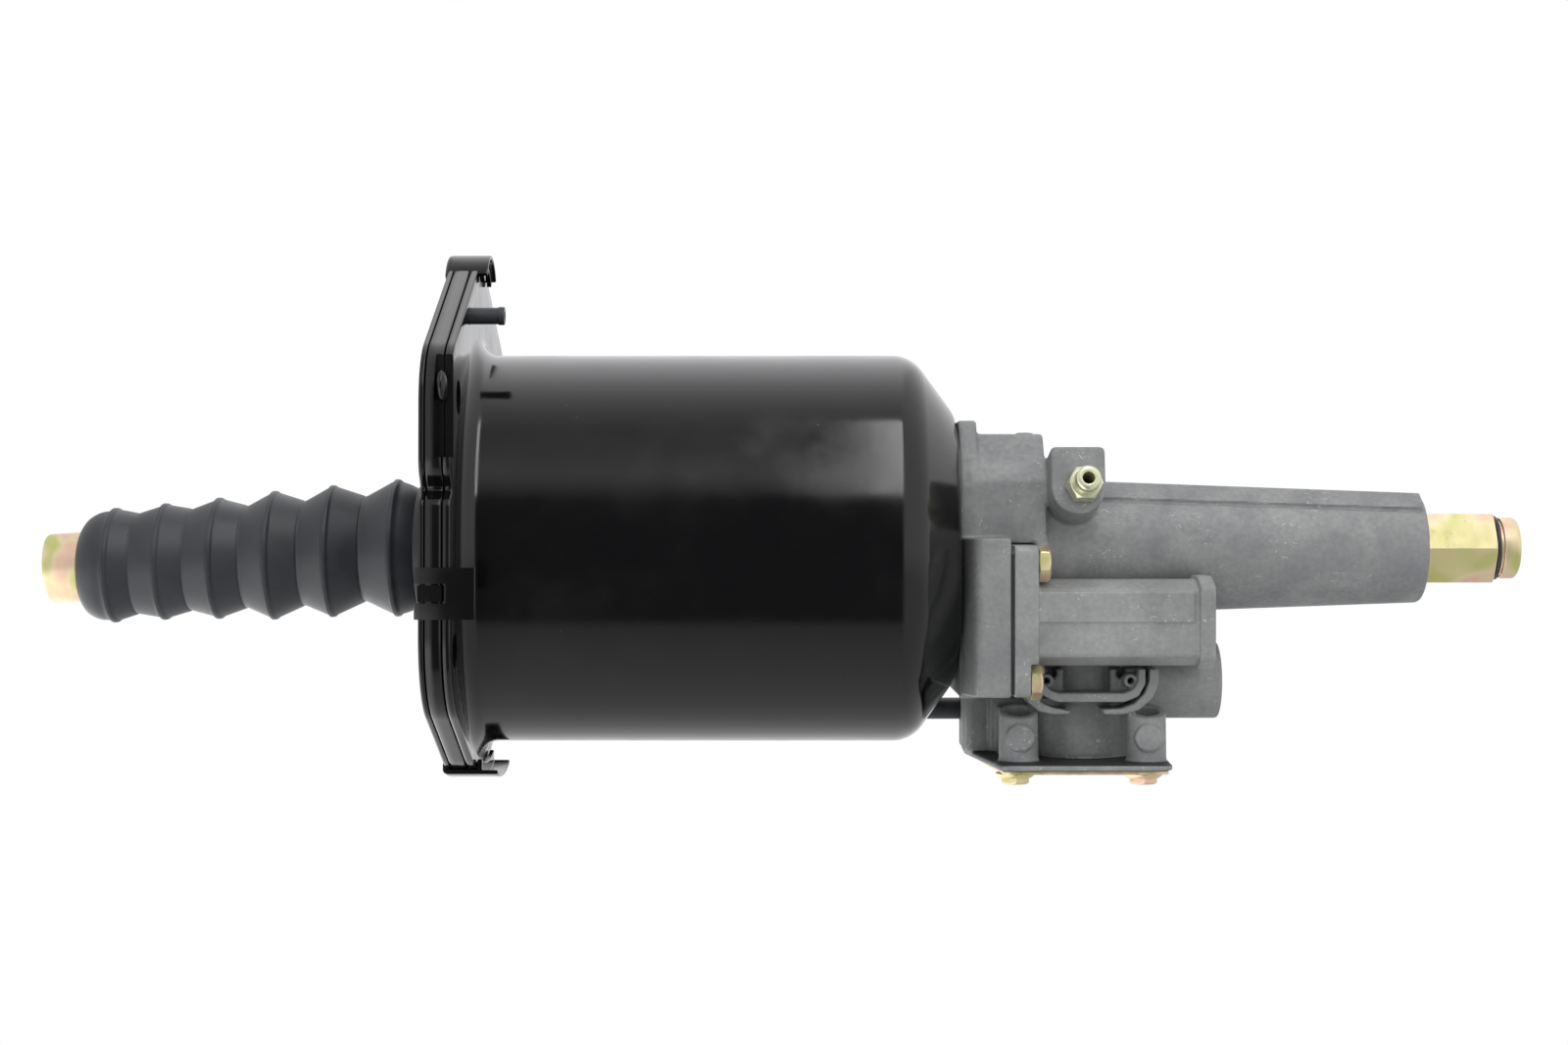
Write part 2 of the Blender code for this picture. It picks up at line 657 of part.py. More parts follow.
cut(can, cylinder("pipe_hole", (CAN_FLANGE_X - 1 * MM, *PIPE_YZ), (CAN_FLANGE_END_X + 12 * MM, *PIPE_YZ), PIPE_R + GAP, HOLE))
for number, (y, z) in enumerate(CAN_BOLTS, 1):
    cut(can, cylinder(f"can_bolt_hole_{number}", (CAN_END_X - 4 * MM, y, z), (CAN_END_X + 2 * MM, y, z), M6_R + BOLT_CLEARANCE, HOLE))

vent_nipple = turned(
    "vent_nipple",
    [(CAN_FLANGE_X + GAP, 0.0), (CAN_FLANGE_X + GAP, VENT_R), (VENT_END_X, VENT_R),
     (VENT_END_X, VENT_R / 2), (VENT_END_X - 8 * MM, VENT_R / 2), (VENT_END_X - 8 * MM, 0.0)],
    RUBBER, HOLE, Matrix.Translation((0, *VENT_YZ)) @ ALONG_X)
breather_pipe = ring("breather_pipe", CAN_FLANGE_X + GAP, PIPE_END_X - GAP, PIPE_BORE_R, PIPE_R,
                     RUBBER, HOLE, Matrix.Translation((0, *PIPE_YZ)) @ ALONG_X)

# Power piston with the ball socket in its nose

ball_bore_top = (PIVOT_X, 0.0)
groove_x = PISTON_RIM_X + 2.5 * MM
guide_x = PISTON_RIM_X + PISTON_RIM_LENGTH - 2.5 * MM - GUIDE_LENGTH
rim_inner = PISTON_R - PISTON_RIM_WALL
retainer_x = PIVOT_X - 6.8 * MM
RETAINER_THICK = 1.5 * MM
RETAINER_R = BALL_BORE_R + 1.0 * MM
nose_end_x = retainer_x - 2.6 * MM
power_piston = turned("power_piston", (
    [(HUB_END_X - PLUNGER_SEAT, 0.0), (HUB_END_X - PLUNGER_SEAT, PLUNGER_STEM_R + GAP), (HUB_END_X, PLUNGER_STEM_R + GAP),
     (HUB_END_X, HUB_R), (PISTON_WEB_X + PISTON_WEB, HUB_R), (PISTON_WEB_X + PISTON_WEB, rim_inner),
     (PISTON_RIM_X + PISTON_RIM_LENGTH, rim_inner), (PISTON_RIM_X + PISTON_RIM_LENGTH, PISTON_R),
     (guide_x + GUIDE_LENGTH + GAP, PISTON_R), (guide_x + GUIDE_LENGTH + GAP, PISTON_R - GUIDE_DEPTH),
     (guide_x - GAP, PISTON_R - GUIDE_DEPTH), (guide_x - GAP, PISTON_R),
     (groove_x + SEAL_LENGTH + GAP, PISTON_R), (groove_x + SEAL_LENGTH + GAP, SEAL_GROOVE_R),
     (groove_x - GAP, SEAL_GROOVE_R), (groove_x - GAP, PISTON_R),
     (PISTON_RIM_X, PISTON_R), (PISTON_RIM_X, PISTON_STOP_R + PISTON_STOP_WALL),
     (PLATE_X + PLATE_THICK + GAP, PISTON_STOP_R + PISTON_STOP_WALL), (PLATE_X + PLATE_THICK + GAP, PISTON_STOP_R),
     (PISTON_WEB_X, PISTON_STOP_R - 1 * MM), (PISTON_WEB_X, HUB_R + 3 * MM), (PISTON_RIM_X, NOSE_R),
     (nose_end_x, NOSE_R), (nose_end_x, BALL_BORE_R), (retainer_x - GAP, BALL_BORE_R),
     (retainer_x - GAP, RETAINER_R), (retainer_x + RETAINER_THICK + GAP, RETAINER_R),
     (retainer_x + RETAINER_THICK + GAP, BALL_BORE_R)]
    + arc(ball_bore_top, BALL_BORE_R, 90, 0, 4)[:-1] + [(PIVOT_X + BALL_BORE_R, 0.0)]
), STEEL, 32)
piston_seal = ring("piston_seal", groove_x, groove_x + SEAL_LENGTH, SEAL_GROOVE_R + GAP, CAN_INNER_R - GAP, RUBBER, 36)
guide_ring = ring("guide_ring", guide_x, guide_x + GUIDE_LENGTH, PISTON_R - GUIDE_DEPTH + GAP, CAN_INNER_R - GAP, PLASTIC, 36)
piston_spring = coil("piston_spring", PISTON_WEB_X + PISTON_WEB, CAN_INNER_END_X, SPRING_BIG_R, SPRING_SMALL_R,
                     SPRING_TURNS, SPRING_WIRE_R, SPRING_STEEL)
plunger = turned("plunger", [
    (PLUNGER_END_X, 0.0), (PLUNGER_END_X, PLUNGER_R - 1 * MM), (PLUNGER_END_X - 1 * MM, PLUNGER_R),
    (HUB_END_X + GAP, PLUNGER_R), (HUB_END_X + GAP, PLUNGER_STEM_R),
    (HUB_END_X - PLUNGER_SEAT + GAP, PLUNGER_STEM_R), (HUB_END_X - PLUNGER_SEAT + GAP, 0.0)], STEEL)

# Push rod, its ball and the liner it turns in

liner_inner = ROD_BALL_R + GAP
ball_liner = turned("ball_liner",
                    arc((PIVOT_X, 0.0), liner_inner, 0, 90, 4) + arc((PIVOT_X, 0.0), liner_inner + LINER_WALL, 90, 0, 4),
                    BRONZE)
neck = math.sqrt(ROD_BALL_R ** 2 - ROD_SHAFT_R ** 2)
rod_place = Matrix.Translation((PIVOT_X, 0, 0)) @ Matrix.Rotation(math.radians(-ROD_DROOP_DEG), 4, "Y")
push_rod = turned("push_rod", (
    [(point[0], max(point[1], 0.0)) for point in arc((0.0, 0.0), ROD_BALL_R, 0, math.degrees(math.atan2(ROD_SHAFT_R, -neck)), 6)]
    + [(-(ROD_TIP - ROD_HEAD_LENGTH), ROD_SHAFT_R), (-(ROD_TIP - ROD_HEAD_LENGTH) - 4 * MM, ROD_HEAD_R),
       (-ROD_TIP + 0.8 * MM, ROD_HEAD_R), (-ROD_TIP, ROD_HEAD_R - 0.8 * MM), (-ROD_TIP, ROD_CUP_R),
       (-ROD_TIP + ROD_CUP_DEPTH - 2 * MM, ROD_CUP_R), (-ROD_TIP + ROD_CUP_DEPTH, 0.0)]
), YELLOW_ZINC, ROUND, rod_place @ ALONG_X)
rod_retainer = ring("rod_retainer", retainer_x, retainer_x + RETAINER_THICK, ROD_SHAFT_R + 1.0 * MM, RETAINER_R - GAP, SPRING_STEEL)

# Bellows: both walls follow the rod's droop, so each ring is lowered by its distance past the pivot


def bellows_profile():
    """Outer wall from the cover to the rod, then the inner wall back."""
    folds = sorted(BELLOWS_CRESTS + BELLOWS_VALLEYS, reverse=True)
    crests = set(BELLOWS_CRESTS)
    outer = [
        (COVER_THICK + 3.2 * MM, BELLOWS_COLLAR_R),
        (COVER_THICK + 3.2 * MM, BELLOWS_BEAD_R),
        (COVER_THICK + GAP, BELLOWS_BEAD_R),
        (COVER_THICK + GAP, BELLOWS_COLLAR_R),
        (-GAP, BELLOWS_COLLAR_R),
        (-GAP, BELLOWS_BEAD_R),
        (-5.0 * MM, BELLOWS_BEAD_R - 1.2 * MM),
    ]
    inner = []
    for x, radius in folds:
        tip = (x, radius) in crests
        outer.append((x, radius))
        inner.append((x, radius - (BELLOWS_WALL + 0.4 * MM if tip else BELLOWS_WALL - 0.3 * MM)))
    mouth_r = ROD_HEAD_R + GAP
    outer += [(BELLOWS_MOUTH_X + 6.5 * MM, BELLOWS_CRESTS[0][1] - 1.3 * MM), (BELLOWS_MOUTH_X + 2.0 * MM, mouth_r + 3.2 * MM),
              (BELLOWS_MOUTH_X, mouth_r + 1.0 * MM), (BELLOWS_MOUTH_X, mouth_r), (BELLOWS_MOUTH_X + 6.0 * MM, mouth_r)]
    return outer + inner[::-1] + [(-5.0 * MM, BELLOWS_COLLAR_R - BELLOWS_WALL), (COVER_THICK, BELLOWS_COLLAR_R - BELLOWS_WALL)]


bellows_guide = turned("bellows_guide", bellows_profile(), None)
bellows_mesh = baked(bellows_guide)
for vertex in bellows_mesh.vertices:
    # The turned mesh still has its axis on its own Z, and its own X points down once laid along X.
    vertex.co.x += math.tan(math.radians(ROD_DROOP_DEG)) * max(PIVOT_X - vertex.co.z, 0.0)
bellows = add("bellows", bellows_mesh, ALONG_X, RUBBER)

# Main casting


def casting_outline():
    return [(-CAST_HALF_WIDTH, LOWER_BOTTOM_Z - 1.3 * MM), (CAST_HALF_WIDTH, LOWER_BOTTOM_Z - 1.3 * MM),
            (CAST_HALF_WIDTH, CAST_SLOPE_Z), (CAST_TOP_HALF, CAST_TOP_Z),
            (-CAST_TOP_HALF, CAST_TOP_Z), (-CAST_HALF_WIDTH, CAST_SLOPE_Z)]


def upper_outline():
    half = CAST_HALF_WIDTH - 1.0 * MM
    floor = VALVE_PLATE_Z[1] + 2 * GAP
    return [(-half, floor), (half, floor), (half, CAST_SLOPE_Z + 2 * MM), (CAST_TOP_HALF - 0.6 * MM, UPPER_TOP_Z),
            (-CAST_TOP_HALF + 0.6 * MM, UPPER_TOP_Z), (-half, CAST_SLOPE_Z + 2 * MM)]


def lower_outline():
    left = CAST_FACE_X + 0.6 * MM
    return [(left, LOWER_LEFT_Y), (left + LOWER_SLOPE, LOWER_NEAR_Y), (LOWER_END_X, LOWER_NEAR_Y),
            (LOWER_END_X, 22 * MM), (left, 22 * MM)]


def tube_radius(x):
    share = (x - TUBE_ROOT_X) / (TUBE_END_X - TUBE_ROOT_X)
    return TUBE_ROOT_R + (TUBE_END_R - TUBE_ROOT_R) * share


def base_outline(inset=0.0):
    (x0, x1), (y0, y1) = BASE_X, BASE_Y
    return [(x0 + BASE_CORNER, y0 + inset), (x1 - 3 * MM, y0 + inset),
            (x1 - inset, y0 + 3 * MM), (x1 - inset, y1 - 3 * MM), (x1 - 3 * MM, y1 - inset),
            (x0 + BASE_CORNER, y1 - inset), (x0 + BASE_SLANT + inset, y1 - BASE_CORNER)]


def tapered_rib():
    """The flat-sided rib on the tube, as high and wide at each end as the taper asks."""
    rib = box("tube_rib", (TUBE_ROOT_X - 2 * MM, -1, 5 * MM), (TUBE_END_X - 1.0 * MM, 1, 1))
    for vertex in rib.data.vertices:
        share = (vertex.co.x - TUBE_ROOT_X) / (TUBE_END_X - TUBE_ROOT_X)
        half = RIB_ROOT_HALF + (RIB_END_HALF - RIB_ROOT_HALF) * share
        vertex.co.y = math.copysign(half, vertex.co.y)
        if vertex.co.z > 0.5:
            vertex.co.z = tube_radius(vertex.co.x) + 0.15 * MM
    return rib


main_housing = turned("main_housing", [
    (TUBE_END_X, 0.0), (TUBE_END_X, TUBE_END_R - 1.2 * MM), (TUBE_END_X - 1.2 * MM, TUBE_END_R),
    (TUBE_ROOT_X, TUBE_ROOT_R), (CAST_FACE_X + 2 * MM, TUBE_ROOT_R), (CAST_FACE_X + 2 * MM, 0.0)], CAST_GREY, 36)
bleeder_turn = Matrix.Translation((BLEEDER_X, 0, BLEEDER_Z)) @ Matrix.Rotation(math.radians(-BLEEDER_TILT_DEG), 4, "X")
bleeder_boss = outline("bleeder_boss", [
    [(BLEEDER_HALF, BLEEDER_TOP - 1.5 * MM), (BLEEDER_HALF - 1.5 * MM, BLEEDER_TOP), (1.5 * MM - BLEEDER_HALF, BLEEDER_TOP),
     (-BLEEDER_HALF, BLEEDER_TOP - 1.5 * MM)] + arc((0, 0), BLEEDER_HALF, 180, 360, 8)],
    8 * MM, BLEEDER_FACE, OUTLINE_IN_XZ)
bleeder_boss.matrix_world = bleeder_turn @ bleeder_boss.matrix_world
unite(
    main_housing,
    cylinder("spigot", (SPIGOT_X, 0, 0), (CAST_FACE_X + 4 * MM, 0, 0), SPIGOT_R, ROUND),
    outline("casting_plate", [casting_outline()], CAST_FACE_X, CAST_PLATE_END_X, OUTLINE_IN_YZ),
    outline("upper_block", [upper_outline()], CAST_FACE_X + CAST_PLATE_THICK / 2, UPPER_END_X, OUTLINE_IN_YZ),
    outline("lower_block", [lower_outline()], LOWER_BOTTOM_Z, 3.4 * MM, OUTLINE_IN_XY),
    box("lower_neck", (BASE_X[0] + BASE_SLANT, NECK_Y[0], BASE_TOP_Z - OVERLAP),
        (LOWER_END_X - 2.4 * MM, NECK_Y[1], LOWER_BOTTOM_Z + 4 * MM)),
    box("column_wall", (BASE_X[0] + BASE_CORNER, WALL_Y[0], BASE_TOP_Z - OVERLAP), (TOWER_X, WALL_Y[1], COLUMN_TOP_Z)),
    outline("base_flange", [base_outline()], BASE_BOTTOM_Z, BASE_TOP_Z, OUTLINE_IN_XY),
    cylinder("tower", (TOWER_X, 0, BASE_TOP_Z - OVERLAP), (TOWER_X, 0, -15 * MM), TOWER_R, ROUND),
    box("valve_back", (LOWER_END_X - 6 * MM, -9.5 * MM, -47 * MM), (BASE_X[1] - 2 * MM, 16.5 * MM, -16 * MM)),
    box("valve_front", (VALVE_HEAD_X, -17 * MM, -48 * MM), (TOWER_X + 17.8 * MM, -5 * MM, -38.2 * MM)),
    box("side_web", (TOWER_X + 9.8 * MM, -12.5 * MM, BASE_TOP_Z - OVERLAP), (BASE_X[1] - 2.8 * MM, 13.3 * MM, -30 * MM)),
    cylinder("air_boss", (TOWER_X + 15.8 * MM, 0, AIR_BOSS_Z), (AIR_BOSS_END_X, 0, AIR_BOSS_Z), AIR_BOSS_R, ROUND),
    tapered_rib(),
    bleeder_boss,
    cylinder("top_bump", (UPPER_END_X - 4 * MM, 6 * MM, 30 * MM), (UPPER_END_X - 4 * MM, 6 * MM, UPPER_TOP_Z + 1 * MM), 3 * MM, HOLE),
    box("pipe_boss", (BASE_X[0] + BASE_SLANT - 0.4 * MM, 19 * MM, BASE_TOP_Z - OVERLAP),
        (LOWER_END_X, PIPE_YZ[0] + 5.5 * MM, PIPE_YZ[1] + 5.3 * MM)),
)
for number, (x, y) in enumerate([(x, y) for x in COLUMN_XS for y in COLUMN_YS], 1):
    unite(main_housing, cylinder(f"column_{number}", (x, y, BASE_TOP_Z - OVERLAP), (x, y, COLUMN_TOP_Z), COLUMN_R, 18))
    if y < 0:
        unite(main_housing, cylinder(f"column_disc_{number}", (x, y, COLUMN_DISC_Z),
                                     (x, y - COLUMN_R - COLUMN_DISC_RISE, COLUMN_DISC_Z), COLUMN_DISC_R, HOLE))
    if x > TOWER_X or y > 0:
        inward = TOWER_X if x > TOWER_X else x
        web = box(f"column_web_{number}", (min(x, inward) - 3 * MM, min(y, 0.0) + 1.2 * MM, BASE_TOP_Z - 0.5 * MM),
                  (x + 3.1 * MM, max(y, 0.0) - 1.2 * MM, COLUMN_TOP_Z - 3 * MM))
        unite(main_housing, web)

loop_outer = rounded((LOOP_X[0], LOOP_Z[0]), (LOOP_X[1], LOOP_Z[1] + 8 * MM), 9 * MM)
loop_inner = rounded((LOOP_X[0] + LOOP_RIB, LOOP_Z[0] + LOOP_RIB), (LOOP_X[1] - LOOP_RIB, LOOP_Z[1] + 8 * MM - LOOP_RIB), 9 * MM - LOOP_RIB)
loop_rib = outline("loop_rib", [loop_outer, loop_inner], 10 * MM, 25 * MM, OUTLINE_IN_XZ)
loop_middle = (LOOP_X[0] + LOOP_X[1]) / 2
cut(loop_rib, box("loop_gap", (loop_middle - LOOP_GAP / 2, -30 * MM, LOOP_Z[0] - 2 * MM), (loop_middle + LOOP_GAP / 2, -5 * MM, LOOP_Z[0] + LOOP_RIB + 2 * MM)),
    box("loop_top", (LOOP_X[0] - 2 * MM, -30 * MM, VALVE_Z - VALVE_HALF - VALVE_COLLAR_RISE - GAP), (LOOP_X[1] + 2 * MM, -5 * MM, LOOP_Z[1] + 12 * MM)),
    box("loop_corner", (LOOP_X[0] - 2 * MM, -30 * MM, VALVE_BOLTS[1][1] - M6_FLATS / 2 - 1.4 * MM), (VALVE_HEAD_X + 0.6 * MM, -5 * MM, LOOP_Z[1])))

# Bores, ports and drillings
unite(main_housing, loop_rib)
cut(
    main_housing,
    turned("main_bore", [
        (TUBE_END_X + 2 * MM, 0.0), (TUBE_END_X + 2 * MM, BORE_R + 0.9 * MM), (TUBE_END_X - 2.6 * MM, BORE_R + 0.9 * MM),
        (TUBE_END_X - 2.6 * MM, FITTING_THREAD_R + GAP), (BORE_END_X, FITTING_THREAD_R + GAP), (BORE_END_X, BORE_R),
        (SPIGOT_X + 12.5 * MM, BORE_R), (SPIGOT_X + 12.5 * MM, SEAL_BORE_R), (SPIGOT_X - 2 * MM, SEAL_BORE_R),
        (SPIGOT_X - 2 * MM, 0.0)], None),
    ring("seal_groove", CAST_FACE_X - 1 * MM, CAST_FACE_X + 1.5 * MM, SPIGOT_R + 2.4 * MM, SPIGOT_R + 5.4 * MM, None),
    cylinder("relay_bore", (LOWER_END_X - 7 * MM, VALVE_Y, VALVE_Z), (LOWER_END_X + 2 * MM, VALVE_Y, VALVE_Z), RELAY_BORE_R, HOLE),
    cylinder("fluid_passage", (LOWER_END_X - 5.5 * MM, VALVE_Y, VALVE_Z), (LOWER_END_X - 5.5 * MM, 0, 0), 1.3 * MM, 8),
    cylinder("tower_bore", (TOWER_X, 0, BASE_BOTTOM_Z - 2 * MM), (TOWER_X, 0, -38 * MM), TOWER_BORE_R),
    cylinder("air_port", (AIR_BOSS_END_X - AIR_PORT_DEPTH, 0, AIR_BOSS_Z), (AIR_BOSS_END_X + 2 * MM, 0, AIR_BOSS_Z), AIR_PORT_R),
    cylinder("air_passage", (TOWER_X, 0, AIR_BOSS_Z), (AIR_BOSS_END_X - AIR_PORT_DEPTH + 1 * MM, 0, AIR_BOSS_Z), 3 * MM, HOLE),
    cylinder("pipe_socket", (BASE_X[0] - 2 * MM, *PIPE_YZ), (PIPE_END_X, *PIPE_YZ), PIPE_R + GAP, HOLE),
)
bleeder_axis = bleeder_turn @ OUTLINE_IN_XZ


def along_bleeder(name, low, high, radius, sides=SMALL):
    made = cylinder(name, (0, 0, low), (0, 0, high), radius, sides)
    made.matrix_world = bleeder_axis
    return made


cut(main_housing, along_bleeder("bleeder_thread", BLEEDER_FACE - 16 * MM, BLEEDER_FACE + 3 * MM, BLEEDER_THREAD_R + GAP),
    along_bleeder("bleeder_passage", 0, BLEEDER_FACE - 12 * MM, 1.4 * MM, 8))
for number, (y, z) in enumerate(CAN_BOLTS, 1):
    cut(main_housing, cylinder(f"cast_bolt_hole_{number}", (CAST_FACE_X - 2 * MM, y, z), (CAST_FACE_X + 12 * MM, y, z), M6_R + BOLT_CLEARANCE, HOLE))
for number, (y, z) in enumerate(VALVE_BOLTS, 1):
    cut(main_housing, cylinder(f"block_bolt_hole_{number}", (LOWER_END_X - 8 * MM, y, z), (LOWER_END_X + 2 * MM, y, z), M6_R + BOLT_CLEARANCE, HOLE))
for number, (x, y) in enumerate([(x, y) for x in COLUMN_XS for y in COLUMN_YS], 1):
    cut(main_housing,
        cylinder(f"base_bolt_hole_{number}", (x, y, BASE_BOTTOM_Z - 2 * MM), (x, y, BASE_TOP_Z + 8 * MM), M6_R + BOLT_CLEARANCE, HOLE),
        cylinder(f"column_pocket_{number}", (x, y, COLUMN_TOP_Z - COLUMN_POCKET), (x, y, COLUMN_TOP_Z + 2 * MM), 3.5 * MM, HOLE))

# Pieces round the plunger, inside the spigot
retainer_low = SPIGOT_X + 0.4 * MM
seal_retainer = ring("seal_retainer", retainer_low, retainer_low + 1.6 * MM, PLUNGER_R + GAP, SEAL_BORE_R - GAP, SPRING_STEEL)
guide_bush = ring("guide_bush", retainer_low + 1.9 * MM, retainer_low + 6.9 * MM, PLUNGER_R + GAP, SEAL_BORE_R - GAP, BRONZE)
plunger_seal = ring("plunger_seal", retainer_low + 7.2 * MM, retainer_low + 11.8 * MM, PLUNGER_R + GAP, SEAL_BORE_R - GAP, RUBBER)
housing_seal = ring("housing_seal", CAN_END_X + GAP, CAST_FACE_X + 1.5 * MM - GAP, SPIGOT_R + 2.7 * MM, SPIGOT_R + 5.1 * MM, RUBBER)

# Relay valve housing


def valve_section(rise=0.0):
    half = VALVE_HALF + rise
    near, far, back = -half, half, VALVE_BACK_CHAMFER
    return [(VALVE_Y + y, VALVE_Z + z) for y, z in (
        (near, VALVE_CHAMFER_Z - half), (near + VALVE_CHAMFER_Y, -half), (far - back, -half), (far, back - half),
        (far, half - back), (far - back, half), (near + VALVE_CHAMFER_Y, half), (near, half - VALVE_CHAMFER_Z))]


plate_loop = rounded((VALVE_PLATE_Y[0], VALVE_PLATE_Z[0]), (VALVE_PLATE_Y[1], VALVE_PLATE_Z[1]), 4 * MM, 3)
valve_housing = outline("valve_housing", [plate_loop], VALVE_PLATE_X, VALVE_PLATE_END_X, OUTLINE_IN_YZ, VALVE_GREY)
unite(
    valve_housing,
    outline("valve_body", [valve_section()], VALVE_PLATE_X + 2 * MM, VALVE_END_X - 1 * MM, OUTLINE_IN_YZ),
    outline("valve_collar", [valve_section(VALVE_COLLAR_RISE)], VALVE_COLLAR_X, VALVE_END_X, OUTLINE_IN_YZ),
    box("valve_panel", (VALVE_PLATE_END_X - 1 * MM, VALVE_Y - VALVE_HALF - 0.6 * MM, VALVE_Z + 0.3 * MM),
        (VALVE_COLLAR_X - 3.2 * MM, VALVE_Y - VALVE_HALF + 2 * MM, VALVE_Z + VALVE_HALF - VALVE_CHAMFER_Z - 0.5 * MM)),
)
valve_axis = (VALVE_Y, VALVE_Z)
cut(
    valve_housing,
    cylinder("tube_relief", (VALVE_PLATE_X - 2 * MM, 0, 0), (VALVE_END_X + 2 * MM, 0, 0), TUBE_ROOT_R + GAP, 36),
    cylinder("air_bore", (VALVE_PLATE_X - 1 * MM, *valve_axis), (SEAT_X[0], *valve_axis), AIR_BORE_R),
    cylinder("seat_hole", (SEAT_X[0] - 1 * MM, *valve_axis), (SEAT_X[1] + 1 * MM, *valve_axis), SEAT_R),
    cylinder("chamber", (SEAT_X[1], *valve_axis), (VALVE_END_X + 1 * MM, *valve_axis), CHAMBER_R),
    cylinder("circlip_groove", (VALVE_END_X - 2.4 * MM, *valve_axis), (VALVE_END_X - 0.8 * MM, *valve_axis), CHAMBER_R + 1.2 * MM),
)
for number, (y, z) in enumerate(VALVE_BOLTS, 1):
    cut(valve_housing, cylinder(f"valve_bolt_hole_{number}", (VALVE_PLATE_X - 1 * MM, y, z), (VALVE_PLATE_END_X + 1 * MM, y, z), M6_R + BOLT_CLEARANCE, HOLE))
valve_gasket = outline("valve_gasket", [
    rounded((LOWER_NEAR_Y + 0.5 * MM, LOWER_BOTTOM_Z + 0.5 * MM), (-12 * MM, 0.5 * MM), 2 * MM, 2),
    circle(valve_axis, AIR_BORE_R + GAP, SMALL),
    *[circle(place, M6_R + BOLT_CLEARANCE, HOLE) for place in VALVE_BOLTS]], GASKET_X, GASKET_X + GASKET_THICK, OUTLINE_IN_YZ, RUBBER)
cut(valve_gasket, cylinder("gasket_relief", (GASKET_X - 1 * MM, 0, 0), (GASKET_X + GASKET_THICK + 1 * MM, 0, 0),
                           TUBE_ROOT_R + GAP, 36))

valve_place = Matrix.Translation((0, *valve_axis)) @ ALONG_X
relay_head_x = VALVE_PLATE_X + 1.2 * MM
relay_head_end = relay_head_x + 9.5 * MM
ring_x = relay_head_x + 3.5 * MM
relay_piston = turned("relay_piston", [
    (SEAT_X[1] + 0.2 * MM, 0.0), (SEAT_X[1] + 0.2 * MM, SEAT_R - 1 * MM), (relay_head_end, SEAT_R - 1 * MM), (relay_head_end, AIR_BORE_R - GAP),
    (ring_x + 2.4 * MM, AIR_BORE_R - GAP), (ring_x + 2.4 * MM, AIR_BORE_R - 2 * MM), (ring_x, AIR_BORE_R - 2 * MM), (ring_x, AIR_BORE_R - GAP),
    (relay_head_x, AIR_BORE_R - GAP), (relay_head_x, RELAY_BORE_R - GAP), (LOWER_END_X - 4 * MM, RELAY_BORE_R - GAP), (LOWER_END_X - 4 * MM, 0.0)],
    STEEL, SMALL, valve_place)
relay_seal = ring("relay_seal", ring_x + GAP, ring_x + 2.1 * MM, AIR_BORE_R - 1.7 * MM, AIR_BORE_R - 0.2 * MM, RUBBER, SMALL, valve_place)
relay_spring = coil("relay_spring", relay_head_end, SEAT_X[0], 6.8 * MM, 6.8 * MM, 2, 0.7 * MM, SPRING_STEEL, valve_axis)
valve_disc = turned("valve_disc", [
    (SEAT_X[1] + 12 * MM, 0.0), (SEAT_X[1] + 12 * MM, 2.6 * MM), (SEAT_X[1] + 3.6 * MM, 2.6 * MM), (SEAT_X[1] + 3.6 * MM, CHAMBER_R - 1.4 * MM),
    (SEAT_X[1] + 0.5 * MM, CHAMBER_R - 1.4 * MM), (SEAT_X[1] + 0.5 * MM, 0.0)], RUBBER, SMALL, valve_place)
cap_x = VALVE_END_X - 6.6 * MM
valve_spring = coil("valve_spring", SEAT_X[1] + 3.6 * MM, cap_x, 5.2 * MM, 5.2 * MM, 5, 0.7 * MM, SPRING_STEEL, valve_axis, 10)
valve_cap = turned("valve_cap", [
    (cap_x + 3.9 * MM, 0.0), (cap_x + 3.9 * MM, CHAMBER_R - GAP), (cap_x, CHAMBER_R - GAP), (cap_x, 0.0)], VALVE_GREY, SMALL, valve_place)
cap_circlip = ring("cap_circlip", VALVE_END_X - 2.1 * MM, VALVE_END_X - 1.1 * MM, CHAMBER_R - 3 * MM, CHAMBER_R + 0.9 * MM, SPRING_STEEL, SMALL, valve_place)

# Base sheet and bolts
base_plate = outline("base_plate", [base_outline(0.6 * MM)] + [circle((x, y), M6_R + BOLT_CLEARANCE, HOLE) for x in COLUMN_XS for y in COLUMN_YS]
                     + [circle((TOWER_X, 0), 4 * MM, HOLE)],
                     BASE_BOTTOM_Z - GAP - BASE_SHEET, BASE_BOTTOM_Z - GAP, OUTLINE_IN_XY, YELLOW_ZINC)
base_bolt = bolt_mesh("base_bolt", BASE_SHEET + BASE_THICK + 7 * MM)
for number, (x, y) in enumerate([(x, y) for x in COLUMN_XS for y in COLUMN_YS], 1):
    add(f"base_bolt_{number}", base_bolt, Matrix.Translation((x, y, BASE_BOTTOM_Z - BASE_SHEET - 2 * GAP)), YELLOW_ZINC)
can_bolt = bolt_mesh("can_bolt", CAN_WALL + 11 * MM)
for number, (y, z) in enumerate(CAN_BOLTS, 1):
    add(f"can_bolt_{number}", can_bolt, Matrix.Translation((CAN_INNER_END_X - GAP, y, z)) @ ALONG_X, YELLOW_ZINC)
valve_bolt = bolt_mesh("valve_bolt", VALVE_PLATE_THICK + GASKET_THICK + 7 * MM)
for number, (y, z) in enumerate(VALVE_BOLTS, 1):
    add(f"valve_bolt_{number}", valve_bolt,
        Matrix.Translation((VALVE_PLATE_END_X + GAP, y, z)) @ Matrix.Rotation(math.radians(-90), 4, "Y"), YELLOW_ZINC)

